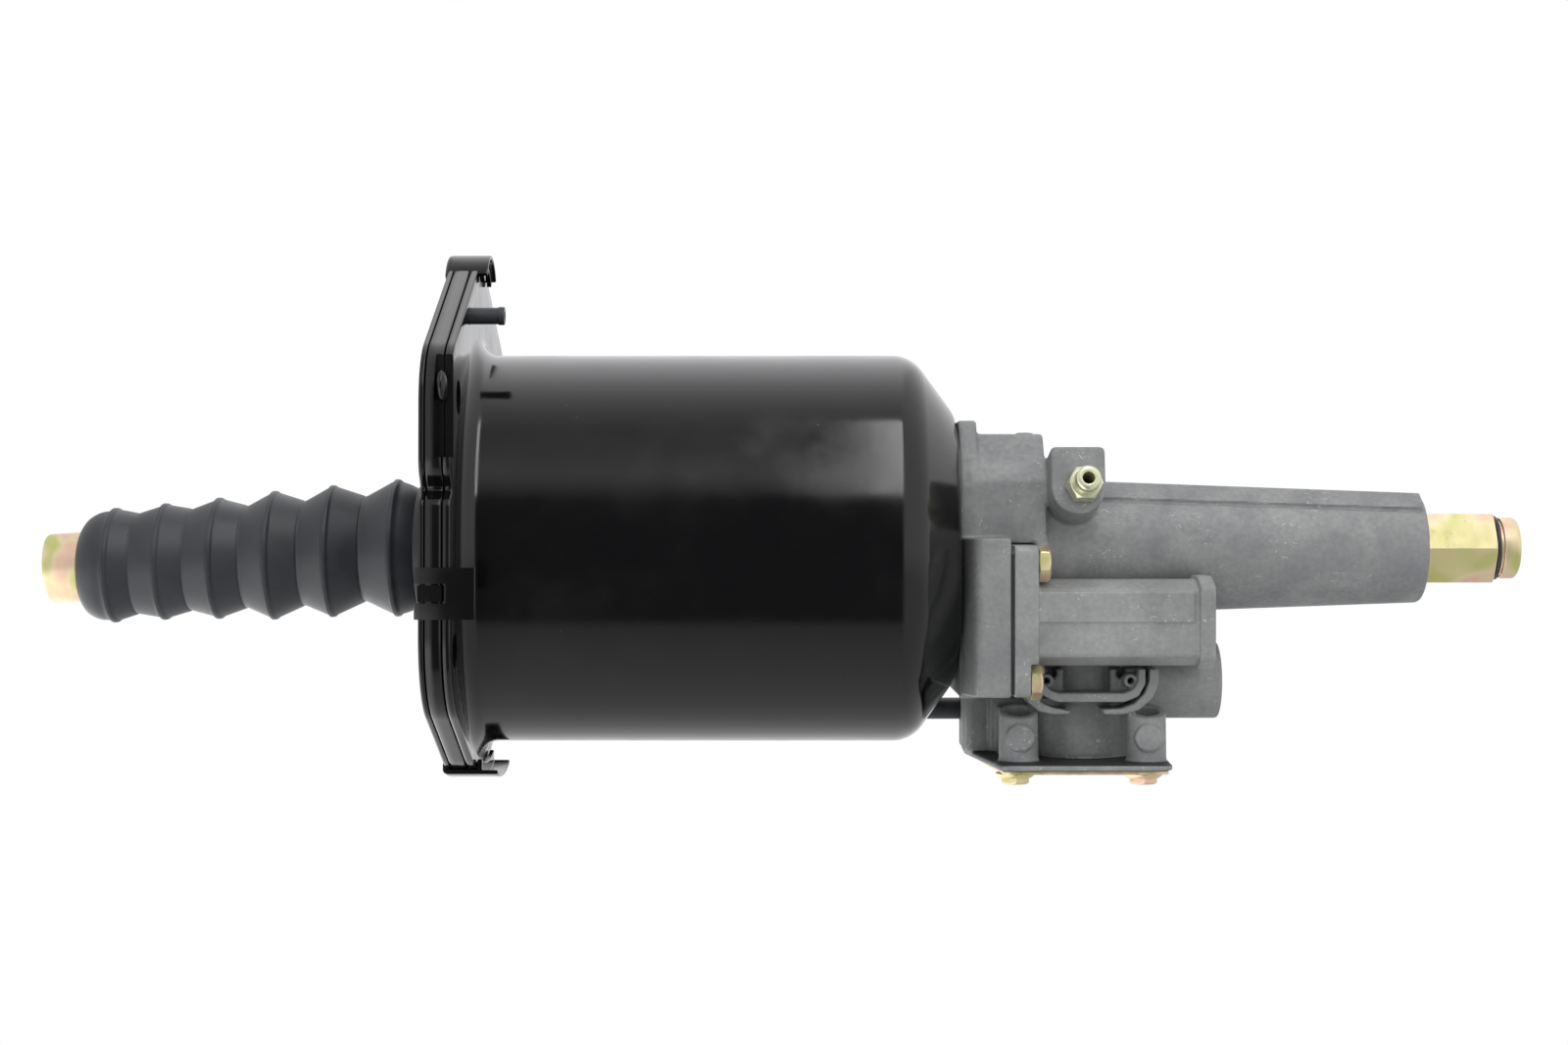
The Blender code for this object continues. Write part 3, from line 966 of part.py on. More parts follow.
# Bleeder screw
bleeder_screw = turned("bleeder_screw", [
    (BLEEDER_FACE + 13 * MM, 0.0), (BLEEDER_FACE + 13 * MM, 3.4 * MM), (BLEEDER_FACE + 12.2 * MM, 4.0 * MM),
    (BLEEDER_FACE + 9.8 * MM, 4.0 * MM), (BLEEDER_FACE + 8.6 * MM, 3.1 * MM), (BLEEDER_FACE + 4 * MM, 3.1 * MM),
    (BLEEDER_FACE + 2 * MM, BLEEDER_THREAD_R), (BLEEDER_FACE - 12 * MM, BLEEDER_THREAD_R),
    (BLEEDER_FACE - 14 * MM, 2.6 * MM), (BLEEDER_FACE - 14 * MM, 0.0)],
    PALE_ZINC, SMALL, bleeder_axis)
bleeder_hex = cylinder("bleeder_hex", (0, 0, BLEEDER_FACE + GAP), (0, 0, BLEEDER_FACE + 7 * MM), BLEEDER_HEX / math.sqrt(3), 6)
bleeder_hex.matrix_world = bleeder_axis
bleeder_bore = cylinder("bleeder_bore", (0, 0, BLEEDER_FACE - 20 * MM), (0, 0, BLEEDER_FACE + 20 * MM), 1.9 * MM, HOLE)
bleeder_bore.matrix_world = bleeder_axis
cut(unite(bleeder_screw, bleeder_hex), bleeder_bore)

# Fluid inlet fitting
inlet_fitting = cylinder("inlet_fitting", (TUBE_END_X + GAP, 0, 0), (HEX_END_X, 0, 0), HEX_FLATS / math.sqrt(3), 6, YELLOW_ZINC, None, math.radians(30))
unite(inlet_fitting, turned("fitting_stem", [
    (FITTING_TIP_X, 0.0), (FITTING_TIP_X, FITTING_R - 0.7 * MM), (FITTING_TIP_X - 0.7 * MM, FITTING_R), (HEX_END_X + FITTING_GROOVE, FITTING_R),
    (HEX_END_X + FITTING_GROOVE, FITTING_GROOVE_R), (HEX_END_X - 4 * MM, FITTING_GROOVE_R), (HEX_END_X - 4 * MM, FITTING_THREAD_R - 1 * MM),
    (TUBE_END_X + 4 * MM, FITTING_THREAD_R - 1 * MM), (TUBE_END_X + 4 * MM, FITTING_THREAD_R), (BORE_END_X - 0.7 * MM, FITTING_THREAD_R),
    (BORE_END_X - 0.7 * MM, 0.0)], None))
cut(inlet_fitting, cylinder("fluid_bore", (BORE_END_X - 5 * MM, 0, 0), (FITTING_TIP_X + 5 * MM, 0, 0), FITTING_BORE_R))
fitting_seal = ring("fitting_seal", TUBE_END_X - 2.3 * MM, TUBE_END_X, FITTING_THREAD_R + GAP, BORE_R + 0.6 * MM, RUBBER)
snap_ring = ring("snap_ring", HEX_END_X + 0.6 * MM, HEX_END_X + FITTING_GROOVE - 0.6 * MM, FITTING_GROOVE_R + GAP, FITTING_R + 0.9 * MM, SPRING_STEEL)

# Joint axes
piston_axis = empty("piston_axis", Matrix.Identity(4))
rod_pivot = empty("rod_pivot", Matrix.Translation((PIVOT_X, 0, 0)))
relay_axis = empty("relay_axis", Matrix.Translation((VALVE_PLATE_X, *valve_axis)))
carry(piston_axis, rod_pivot, power_piston, piston_seal, guide_ring, plunger, rod_retainer)
carry(rod_pivot, push_rod, ball_liner)
carry(relay_axis, relay_piston, relay_seal, valve_disc)

for obj in PARTS.objects:
    if obj.type == "MESH":
        obj.data.shade_smooth()
        obj.data.set_sharp_from_angle(angle=math.radians(35))
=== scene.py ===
"""Looks of an air-assisted hydraulic clutch servo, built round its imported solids.

Sizes are in millimetres in the classes and become metres in the meshes. +X runs
along the servo's axis from the mounting flange to the fluid inlet, +Z is up and
-Y faces the camera.
"""

import json
import logging
import math
from dataclasses import dataclass, field
from enum import Enum
from typing import Any

import bmesh
import bpy
import numpy as np
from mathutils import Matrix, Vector


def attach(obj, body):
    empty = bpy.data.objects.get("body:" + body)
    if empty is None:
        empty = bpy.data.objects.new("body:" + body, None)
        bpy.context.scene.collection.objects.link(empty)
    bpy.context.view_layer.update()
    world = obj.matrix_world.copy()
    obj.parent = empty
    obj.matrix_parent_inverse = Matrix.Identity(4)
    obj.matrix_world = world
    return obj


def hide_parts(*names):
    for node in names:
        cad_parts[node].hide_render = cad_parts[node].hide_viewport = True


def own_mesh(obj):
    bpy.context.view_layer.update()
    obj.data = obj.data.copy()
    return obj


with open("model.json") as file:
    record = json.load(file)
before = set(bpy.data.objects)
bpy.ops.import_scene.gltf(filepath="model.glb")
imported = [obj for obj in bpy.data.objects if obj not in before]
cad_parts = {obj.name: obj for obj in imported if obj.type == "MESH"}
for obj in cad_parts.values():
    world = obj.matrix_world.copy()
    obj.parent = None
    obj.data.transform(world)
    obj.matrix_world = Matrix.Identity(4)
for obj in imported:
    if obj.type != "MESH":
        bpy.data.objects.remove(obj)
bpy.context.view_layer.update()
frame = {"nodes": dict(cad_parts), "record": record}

Array = np.ndarray
Mesh = bpy.types.Mesh
Socket = bpy.types.NodeSocket
Colour = tuple[float, float, float, float]
Point = tuple[float, float, float]
Pair = tuple[float, float]
Box = tuple[Array, Array]
Shell = tuple[Array, Array]

MM = 0.001
LOG = logging.getLogger("clutch_servo")

# Places that several pieces share
PIVOT_X = -22.0
DROOP = math.radians(3.58)
VENT = (-35.0, 72.7)
PIPE = (37.94, -54.92)
BASE_BOLTS = ((181.0, -22.0), (221.5, -22.0), (181.0, 28.0), (221.5, 28.0))
VALVE_BOLTS = ((-37.0, -4.6), (-37.0, -41.4), (-16.4, -40.2))


class Body(Enum):
    """The rigid bodies that the added pieces ride on."""

    HOUSING = "housing"
    ROD = "rod"


class Slot(Enum):
    """The record's material slots."""

    BLACK_PAINT = "black_paint"
    CAST_GREY = "cast_grey"
    VALVE_GREY = "valve_grey"
    YELLOW_ZINC = "yellow_zinc"
    PALE_ZINC = "pale_zinc"
    RUBBER = "rubber"
    STEEL = "steel"
    SPRING_STEEL = "spring_steel"
    BRONZE = "bronze"
    PLASTIC = "plastic"


class Axis(Enum):
    """The axis that a shape's thickness or length runs along."""

    X = 0
    Y = 1
    Z = 2


# Materials


def linear(colour: str) -> Colour:
    """Turns an sRGB hex colour to linear light.

    Args:
        colour: six hex digits after a hash.

    Returns:
        Red, green, blue and alpha, linear.
    """
    channels = (int(colour[i:i + 2], 16) / 255 for i in (1, 3, 5))
    light = [c / 12.92 if c <= 0.04045 else ((c + 0.055) / 1.055) ** 2.4 for c in channels]
    return (*light, 1.0)


class Wiring:
    """A node tree with short ways to add the nodes that recur."""

    def __init__(self, tree: bpy.types.NodeTree) -> None:
        """Keeps the tree."""
        self.tree = tree

    def node(self, kind: str, sockets: dict[Any, Any] | None = None,
             **settings: Any) -> bpy.types.Node:
        """Adds a node with its settings, constants and links.

        Args:
            kind: the node's type name after ShaderNode.
            sockets: what each input gets, a constant or another node's output.
            settings: the node's own properties.

        Returns:
            The new node.
        """
        made = self.tree.nodes.new("ShaderNode" + kind)
        for key, value in settings.items():
            setattr(made, key, value)
        for key, value in (sockets or {}).items():
            if isinstance(value, Socket):
                self.tree.links.new(value, made.inputs[key])
            else:
                made.inputs[key].default_value = value
        return made

    def maths(self, operation: str, first: Any, second: Any) -> Socket:
        """One operation on two values."""
        return self.node("Math", {0: first, 1: second}, operation=operation).outputs[0]

    def part(self, vector: Socket, axis: str) -> Socket:
        """One part of a vector, X, Y or Z."""
        return self.node("SeparateXYZ", {0: vector}).outputs[axis]

    def mix(self, share: Any, first: Any, second: Any) -> Socket:
        """A colour between two, each a socket or hex digits."""
        ends = [linear(end) if isinstance(end, str) else end for end in (first, second)]
        return self.node("Mix", {0: share, 6: ends[0], 7: ends[1]}, data_type="RGBA").outputs[2]

    def spread(self, value: Socket, low: float, high: float, start: float = 0.3,
               end: float = 0.7) -> Socket:
        """Maps a value between start and end to the range low to high."""
        return self.node("MapRange", {"Value": value, "From Min": start, "From Max": end,
                                      "To Min": low, "To Max": high}).outputs["Result"]

    def ramp(self, source: Socket, stops: list[tuple[float, Colour]]) -> Socket:
        """Adds a colour ramp with these stops, positions with their linear colours."""
        made = self.node("ValToRGB", {"Fac": source})
        line = made.color_ramp
        line.elements[0].position, line.elements[0].color = stops[0]
        line.elements[1].position, line.elements[1].color = stops[-1]
        for position, colour in stops[1:-1]:
            line.elements.new(position).color = colour
        return made.outputs["Color"]


class Surface(Wiring):
    """A material's tree, with its shader and the object coordinates of its patterns."""

    def __init__(self, name: str) -> None:
        """Makes the material."""
        self.material = bpy.data.materials.new(name)
        self.material.use_nodes = True
        super().__init__(self.material.node_tree)
        self.shader = self.tree.nodes["Principled BSDF"]
        self.place = self.node("TexCoord").outputs["Object"]

    def feed(self, value: Socket, name: str) -> None:
        """Links a value to one of the shader's inputs."""
        self.tree.links.new(value, self.shader.inputs[name])

    def noise(self, size_mm: float, detail: float = 2.0, distortion: float = 0.0,
              place: Socket | None = None) -> Socket:
        """Noise whose patches are about size_mm across.

        Args:
            size_mm: the size of a patch.
            detail: how many finer layers it has.
            distortion: how far the patches are pulled about.
            place: coordinates in metres, the object's own if left out.

        Returns:
            The noise's value output.
        """
        return self.node("TexNoise", {
            "Vector": self.place if place is None else place, "Scale": 1.0 / (size_mm * MM),
            "Detail": detail, "Distortion": distortion}).outputs["Fac"]

    def rings(self, step_mm: float, distortion: float) -> Socket:
        """Marks of a lathe along X, a step apart."""
        return self.node("TexWave", {
            "Vector": self.place, "Scale": 1.0 / (step_mm * MM) / 20.0, "Distortion": distortion,
            "Detail": 2.0}, wave_type="BANDS", bands_direction="X").outputs["Fac"]

    def relief(self, *layers: tuple[Socket, float]) -> None:
        """Stacks bump layers on the shader, each a height from 0 to 1 and its depth in mm."""
        normal = None
        for height, depth in layers:
            sockets: dict[Any, Any] = {"Height": height, "Distance": depth * MM, "Strength": 1.0}
            if normal is not None:
                sockets["Normal"] = normal
            normal = self.node("Bump", sockets).outputs["Normal"]
        self.feed(normal, "Normal")

    def gloss(self, value: Socket, roughness: float, less: float, more: float) -> None:
        """Lets the roughness drift with a value, between less and more than its own."""
        self.feed(self.spread(value, roughness - less, roughness + more), "Roughness")


@dataclass(frozen=True)
class Finish:
    """A surface finish: what it is made of, its plain colour and its shader values."""

    name: str
    colour: str
    metallic: float
    roughness: float

    def build(self) -> bpy.types.Material:
        """Makes the material: the shader's constants first, then the finish's own pattern."""
        surface = Surface(self.name)
        inputs = surface.shader.inputs
        inputs["Base Color"].default_value = linear(self.colour)
        inputs["Metallic"].default_value = self.metallic
        inputs["Roughness"].default_value = self.roughness
        self.pattern(surface)
        return surface.material

    def pattern(self, surface: Surface) -> None:
        """Adds the finish's own colour and relief; the plain finish has faint grain."""
        surface.relief((surface.noise(0.6), 0.01))


class Enamel(Finish):
    """Black enamel sprayed on drawn steel: deep gloss with a slight orange peel and dust."""

    def pattern(self, surface: Surface) -> None:
        """Orange peel as shallow relief, and dust as sparse pale specks."""
        surface.relief((surface.noise(22.0), 0.05), (surface.noise(2.6, 1.0), 0.004))
        surface.gloss(surface.noise(14.0, 3.0), self.roughness, 0.03, 0.07)
        # Real dust is finer than a pixel here; these specks are about 0.4 mm so that they show.
        cells = surface.node("TexVoronoi", {"Vector": surface.place, "Scale": 1.0 / (6.0 * MM)})
        speck = surface.maths("LESS_THAN", cells.outputs["Distance"], 0.035)
        rare = surface.maths("GREATER_THAN", surface.noise(9.0), 0.62)
        dust = surface.maths("MULTIPLY", speck, rare)
        surface.feed(surface.mix(dust, self.colour, "#5c5d60"), "Base Color")


@dataclass(frozen=True)
class ShotBlasted(Finish):
    """Cast aluminium after shot blasting: matt, evenly pitted, with bright nicks."""

    light: str = "#949595"
    # Whether faces that point up, low down, get painted shade.
    painted_low_shade: bool = False

    def pattern(self, surface: Surface) -> None:
        """Cloudy grey, pits of the shot, longer scratches and bright nicks."""
        fine = surface.noise(1.6, 3.0)
        cloud = surface.spread(surface.noise(16.0, 5.0, 0.6), 0.0, 1.0, 0.32, 0.68)
        colour = surface.mix(cloud, self.colour, self.light)
        colour = surface.mix(surface.spread(fine, 0.0, 0.22, 0.35, 0.7), colour, "#5b5c5e")
        # Nicks: thin torn flecks, in patches, as on castings that were tumbled in a crate.
        tilt = surface.node("Mapping", {
            "Vector": surface.place, "Rotation": (0.5, 0.9, 0.4), "Scale": (0.6, 2.6, 0.8)})
        torn = surface.noise(1.5, 4.0, 2.2, tilt.outputs["Vector"])
        fleck = surface.spread(torn, 0.0, 0.6, 0.63, 0.68)
        patch = surface.spread(surface.noise(14.0), 0.0, 1.0, 0.50, 0.60)
        colour = surface.mix(surface.maths("MULTIPLY", fleck, patch), colour, "#dcdddb")
        if self.painted_low_shade:
            # Painted shade: where a surface faces up, low down between the columns, as on the base
            # flange's top under the casting, it is darkened to stand in for the casting's shadow.
            normal = surface.node("NewGeometry").outputs["Normal"]
            flat = surface.spread(surface.part(normal, "Z"), 0.0, 0.93, 0.45, 0.80)
            deep = surface.spread(surface.part(surface.place, "Z"), 0.0, 1.0, -0.060, -0.063)
            colour = surface.mix(surface.maths("MULTIPLY", flat, deep), colour, "#2b2b2c")
        surface.feed(colour, "Base Color")
        surface.relief((surface.noise(6.0, 3.0), 0.16), (surface.noise(0.9, 4.0), 0.055))
        surface.gloss(fine, self.roughness, 0.06, 0.08)


@dataclass(frozen=True)
class ZincPlate(Finish):
    """Chromated zinc plate on steel: a thin film that turns from straw to pink and green."""

    pink: str = "#e8c3ac"
    green: str = "#c9c783"

    def pattern(self, surface: Surface) -> None:
        """Broad drifting tints, small stains, and feed marks of the lathe 0.35 mm apart."""
        tints = ((0.32, self.green), (0.45, self.colour), (0.56, self.pink), (0.66, self.colour),
                 (0.78, self.green))
        tint = surface.ramp(surface.noise(17.0, 1.0, 0.8), [(at, linear(c)) for at, c in tints])
        stain = surface.noise(3.4, 4.0)
        spots = surface.spread(stain, 0.0, 0.6, 0.70, 0.78)
        surface.feed(surface.mix(spots, tint, "#6f5f3c"), "Base Color")
        surface.gloss(stain, self.roughness, 0.05, 0.10)
        surface.relief((surface.noise(0.5, 3.0), 0.010), (surface.rings(0.35, 0.6), 0.003))


class MouldedRubber(Finish):
    """Black nitrile rubber as moulded: satin, dusted, with a bloom that greys it."""

    def pattern(self, surface: Surface) -> None:
        """Bloom in soft clouds and a fine moulded grain."""
        cloud = surface.noise(18.0, 4.0, 0.8)
        bloom = surface.spread(cloud, 0.15, 0.65)
        surface.feed(surface.mix(bloom, self.colour, "#3a3e44"), "Base Color")
        surface.relief((surface.noise(9.0), 0.08), (surface.noise(0.45, 3.0), 0.014))
        surface.gloss(cloud, self.roughness, 0.05, 0.08)


class GroundMetal(Finish):
    """Turned or ground metal: fine rings round the servo's axis and a light wear."""

    def pattern(self, surface: Surface) -> None:
        """Rings 0.3 mm apart and a cloudy change of gloss."""
        surface.relief((surface.rings(0.3, 0.5), 0.004))
        surface.gloss(surface.noise(5.0, 3.0), self.roughness, 0.05, 0.08)


class Finishes:
    """All finishes of the servo, built once, one for each slot of the record."""

    def __init__(self) -> None:
        """Builds the materials."""
        looks: dict[Slot, Finish] = {
            Slot.BLACK_PAINT: Enamel("black_enamel_on_steel", "#0b0b0d", 0.0, 0.12),
            # The main casting's grey carries painted shade on the base flange's top, in place of the
            # shadow under the casting.
            Slot.CAST_GREY: ShotBlasted("shot_blasted_cast_aluminium", "#7d7f80", 0.15, 0.56,
                                        painted_low_shade=True),
            Slot.VALVE_GREY: ShotBlasted("cast_aluminium_lighter", "#868888", 0.15, 0.54,
                                         light="#9d9f9e"),
            Slot.YELLOW_ZINC: ZincPlate("yellow_chromated_zinc", "#e6d6ae", 0.75, 0.30),
            Slot.PALE_ZINC: ZincPlate("pale_green_zinc", "#dddcc0", 0.7, 0.26,
                                      pink="#e2dcc2", green="#cdd0ae"),
            Slot.RUBBER: MouldedRubber("moulded_nitrile_rubber", "#1f2226", 0.0, 0.42),
            Slot.STEEL: GroundMetal("ground_steel", "#b9bbbd", 1.0, 0.25),
            Slot.SPRING_STEEL: GroundMetal("oiled_spring_steel", "#4d4c4b", 0.9, 0.36),
            Slot.BRONZE: GroundMetal("turned_bronze", "#b98b52", 1.0, 0.30),
            Slot.PLASTIC: Finish("moulded_acetal", "#dad6c8", 0.0, 0.45),
        }
        self.made = {slot: look.build() for slot, look in looks.items()}

    def dress_nodes(self) -> None:
        """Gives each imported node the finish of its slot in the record."""
        slots = {s["node"]: s["material_slot"] for s in frame["record"]["subparts"]}
        for name, obj in frame["nodes"].items():
            obj.data.materials.clear()
            obj.data.materials.append(self.made[Slot(slots[name])])


# Meshes


def mesh_of(points: Array, quads: Array, caps: tuple[range, ...] = ()) -> Mesh:
    """A mesh from points in millimetres and quads, closed and facing outwards.

    Points that fall together, as at a pole, are merged. The volume inside the
    faces, a sixth of the sum of each triangle's triple product, tells whether
    they face inwards, and then they are turned round.

    Args:
        points: rows of x, y and z.
        quads: rows of four point numbers.
        caps: runs of point numbers that are closed with one flat face each.

    Returns:
        The mesh, smooth, with sharp edges above 40 degrees.
    """
    mesh = bpy.data.meshes.new("shell")
    mesh.vertices.add(len(points))
    mesh.vertices.foreach_set("co", (points * MM).astype(np.float32).ravel())
    mesh.loops.add(quads.size)
    mesh.loops.foreach_set("vertex_index", quads.astype(np.int32).ravel())
    mesh.polygons.add(len(quads))
    mesh.polygons.foreach_set("loop_start", np.arange(0, quads.size, 4, dtype=np.int32))
    mesh.update(calc_edges=True)
    work = bmesh.new()
    work.from_mesh(mesh)
    work.verts.ensure_lookup_table()
    lids = [work.faces.new([work.verts[i] for i in loop]) for loop in caps]
    if lids:
        bmesh.ops.recalc_face_normals(work, faces=work.faces)
        bmesh.ops.triangulate(work, faces=lids)
    bmesh.ops.remove_doubles(work, verts=work.verts, dist=1e-6)
    bmesh.ops.dissolve_degenerate(work, edges=work.edges, dist=1e-7)
    if work.calc_volume(signed=True) < 0:
        bmesh.ops.reverse_faces(work, faces=work.faces)
    work.to_mesh(mesh)
    work.free()
    shade(mesh)
    return mesh


def shade(mesh: Mesh, angle: float = 40.0) -> None:
    """Smooth shading with sharp edges where faces meet above the angle in degrees."""
    mesh.shade_smooth()
    mesh.set_sharp_from_angle(angle=math.radians(angle))


def lattice(grid: Array, ring: bool) -> Shell:
    """Quads between the rows and columns of a grid of points; columns always close.

    Args:
        grid: rows by columns by 3.
        ring: whether the last row joins the first.

    Returns:
        The points as rows, and the quads.
    """
    rows, columns = grid.shape[:2]
    number = np.arange(rows * columns).reshape(rows, columns)
    down, across = np.roll(number, -1, 0), np.roll(number, -1, 1)
    both = np.roll(down, -1, 1)
    keep = rows if ring else rows - 1
    quads = np.stack([number[:keep], down[:keep], both[:keep], across[:keep]], -1)
    return grid.reshape(-1, 3), quads.reshape(-1, 4)


def softened(profile: Any, closed: bool, steps: int = 5) -> Array:
    """A polygon with its corners rounded.

    Each corner becomes a quadratic Bezier curve between the points that lie its
    radius away along both sides, never past the middle of a side.

    Args:
        profile: rows of two coordinates and the corner's radius, where 0 keeps it sharp.
        closed: whether the last corner joins the first.
        steps: segments per corner.

    Returns:
        The rounded outline's points.
    """
    table = np.array(profile, float)
    corners, reach = table[:, :2], table[:, 2:]
    before, after = np.roll(corners, 1, 0), np.roll(corners, -1, 0)
    back, ahead = before - corners, after - corners
    back_length = np.linalg.norm(back, axis=1, keepdims=True) + 1e-9
    ahead_length = np.linalg.norm(ahead, axis=1, keepdims=True) + 1e-9
    if not closed:
        reach[[0, -1]] = 0.0
    start = corners + back / back_length * np.minimum(reach, back_length * 0.5)
    end = corners + ahead / ahead_length * np.minimum(reach, ahead_length * 0.5)
    t = np.linspace(0, 1, steps + 1)[None, :, None]
    curve = ((1 - t) ** 2 * start[:, None] + 2 * t * (1 - t) * corners[:, None]
             + t ** 2 * end[:, None])
    keep = np.ones((len(corners), steps + 1), bool)
    keep[reach[:, 0] <= 0, 1:] = False
    return curve[keep]


def circle(steps: int) -> Array:
    """Even angles once round."""
    return np.linspace(0, 2 * np.pi, steps, endpoint=False)


def wrapped(x: Array, radius: Array, turn: Array, ring: bool = False, sag: Any = 0.0) -> Shell:
    """Rows carried round the X axis: the radius times cosine and sine of each point's turn.

    Args:
        x: places along the axis, by row or by point.
        radius: distances from the axis, by row or by point.
        turn: angles round it.
        ring: whether the last row joins the first.
        sag: how far each row hangs below its place.

    Returns:
        Points and quads.
    """
    parts = np.broadcast_arrays(x, radius * np.cos(turn), radius * np.sin(turn) - sag)
    return lattice(np.stack(parts, -1), ring)


def turned(profile: list[Point], sides: int = 96, ring: bool = False) -> Shell:
    """A body of revolution about the X axis.

    Args:
        profile: corners as (x, radius, rounding), from the axis to the axis, or round a ring.
        sides: columns round the axis.
        ring: whether the profile closes on itself.

    Returns:
        Points and quads.
    """
    line = softened(profile, ring)
    return wrapped(line[:, :1], line[:, 1:], circle(sides), ring)


def hexagonal(flats: float, profile: list[Point], roll: float = 0.0) -> Shell:
    """A hexagon along X limited by a turned profile, which gives its chamfers.

    The radius is the soft minimum, a p-norm with p of minus 60, of the profile's
    radius and the hexagon's, which is half the flats over the cosine of the angle
    from the nearest flat's middle.

    Args:
        flats: width across flats.
        profile: corners as (x, radius, rounding) from axis to axis.
        roll: degrees by which a flat's middle is turned from +Y.

    Returns:
        Points and quads.
    """
    line = softened(profile, False, 4)
    share = np.linspace(0, 1, 4, endpoint=False)[:, None]
    spans = line[:-1, None] + (line[1:] - line[:-1])[:, None] * share
    line = np.vstack([spans.reshape(-1, 2), line[-1:]])
    x, reach = line[:, :1], line[:, 1:]
    turn = circle(144)
    off = np.mod(turn - math.radians(roll) + np.pi / 6, np.pi / 3) - np.pi / 6
    hexagon = flats / 2 / np.cos(off)
    power = -60.0
    soft = (np.maximum(reach, 1e-3) ** power + hexagon ** power) ** (1 / power)
    return wrapped(x, np.where(reach < 1e-5, 0.0, soft), turn)


def box_shell(first: Point, second: Point) -> Shell:
    """A plain box between two opposite corners, for use as a cutter."""
    ends = np.sort(np.array([first, second], float), axis=0)
    points = np.array([(ends[i, 0], ends[j, 1], ends[k, 2])
                       for i in (0, 1) for j in (0, 1) for k in (0, 1)])
    quads = np.array([[0, 1, 3, 2], [4, 6, 7, 5], [0, 4, 5, 1], [2, 3, 7, 6], [0, 2, 6, 4],
                      [1, 5, 7, 3]])
    return points, quads


def plug(low: float, high: float, radius: float, sides: int) -> Shell:
    """A plain round bar along X, for use as a cutter."""
    return turned([(low, 0, 0), (low, radius, 0), (high, radius, 0), (high, 0, 0)], sides)


def joined(*parts: Shell) -> Shell:
    """Several closed shells in one mesh, each with its point numbers moved on."""
    offsets = np.cumsum([0] + [len(points) for points, _ in parts[:-1]])
    return (np.vstack([points for points, _ in parts]),
            np.vstack([quads + shift for (_, quads), shift in zip(parts, offsets)]))


def moved(shell: Shell, y: float, z: float) -> Shell:
    """The shell moved across the X axis."""
    return shell[0] + np.array([0, y, z]), shell[1]


def aimed(shell: Shell, origin: Point, way: Point, up: Point = (0, 0, 1)) -> Shell:
    """A shell whose own X axis is turned to a direction and moved to an origin.

    Args:
        shell: points and quads.
        origin: where their zero goes.
        way: where their X axis points.
        up: roughly where their Z axis points.

    Returns:
        The placed points and the quads.
    """
    x = np.array(way, float) / np.linalg.norm(way)
    y = np.cross(np.array(up, float), x)
    y /= np.linalg.norm(y)
    return shell[0] @ np.stack([x, y, np.cross(x, y)]) + np.array(origin, float), shell[1]


def linked(name: str, data: Any) -> bpy.types.Object:
    """A new object in the scene."""
    made = bpy.data.objects.new(name, data)
    bpy.context.scene.collection.objects.link(made)
    return made


def baked(work: bpy.types.Object, tools: list[bpy.types.Object]) -> Mesh:
    """The object's mesh after its modifiers; the object and its tools are removed."""
    graph = bpy.context.evaluated_depsgraph_get()
    mesh = bpy.data.meshes.new_from_object(work.evaluated_get(graph))
    for obj in (work, *tools):
        bpy.data.objects.remove(obj)
    return mesh


def carved(base: Mesh, cutters: list[Mesh], operation: str = "DIFFERENCE") -> Mesh:
    """The base mesh after exact Booleans with the cutters.

    Args:
        base: the mesh to work on.
        cutters: closed meshes.
        operation: DIFFERENCE or UNION.

    Returns:
        The carved mesh, smooth with sharp edges.
    """
    work = linked("work", base)
    tools = [linked("tool", cutter) for cutter in cutters]
    for tool in tools:
        step = work.modifiers.new("Carve", "BOOLEAN")
        step.object, step.operation, step.solver = tool, operation, "EXACT"
    mesh = baked(work, tools)
    shade(mesh)
    return mesh


class Bench:
    """Puts finished meshes into the scene as pieces of the servo."""

    def __init__(self, finishes: Finishes) -> None:
        """Keeps the finishes that pieces are dressed in."""
        self.finishes = finishes
        self.count = 0

    def piece(self, name: str, mesh: Mesh, slot: Slot, *replaced: str,
              body: Body = Body.HOUSING) -> bpy.types.Object:
        """Adds a piece at the origin, dresses it and lets it ride on its body.

        Args:
            name: the piece's name.
            mesh: its mesh, with its place in its points.
            slot: its material slot.
            replaced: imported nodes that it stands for.
            body: the body it moves with.

        Returns:
            The new object.
        """
        mesh.name = name
        made = linked(name, mesh)
        mesh.materials.clear()
        mesh.materials.append(self.finishes.made[slot])
        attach(made, body.value)
        if replaced:
            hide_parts(*replaced)
        self.count += 1
        LOG.info("%s: %d faces on %s", name, len(mesh.polygons), body.value)
        return made

    def solid(self, name: str, shell: Shell, slot: Slot, *replaced: str,
              body: Body = Body.HOUSING) -> bpy.types.Object:
        """Adds a piece from points and quads."""
        return self.piece(name, mesh_of(*shell), slot, *replaced, body=body)


# Castings as fields of distances


@dataclass(frozen=True)
class Shape:
    """A solid given by its distance: below zero inside, in millimetres."""

    def span(self) -> Box:
        """Lowest and highest corner of the solid."""
        raise NotImplementedError

    def distance(self, x: Array, y: Array, z: Array) -> Array:
        """Signed distance at each point of a grid given by its three axes."""
        raise NotImplementedError


def slab(across: Array, along: Array, rounding: float) -> Array:
    """Distance to what is inside both limits, with its rim rounded.

    Both limits are moved in by the rounding, the length of their positive parts
    is taken, and the rounding is given back.
    """
    a, b = across + rounding, along + rounding
    outside = np.sqrt(np.maximum(a, 0) ** 2 + np.maximum(b, 0) ** 2)
    return outside + np.minimum(np.maximum(a, b), 0) - rounding


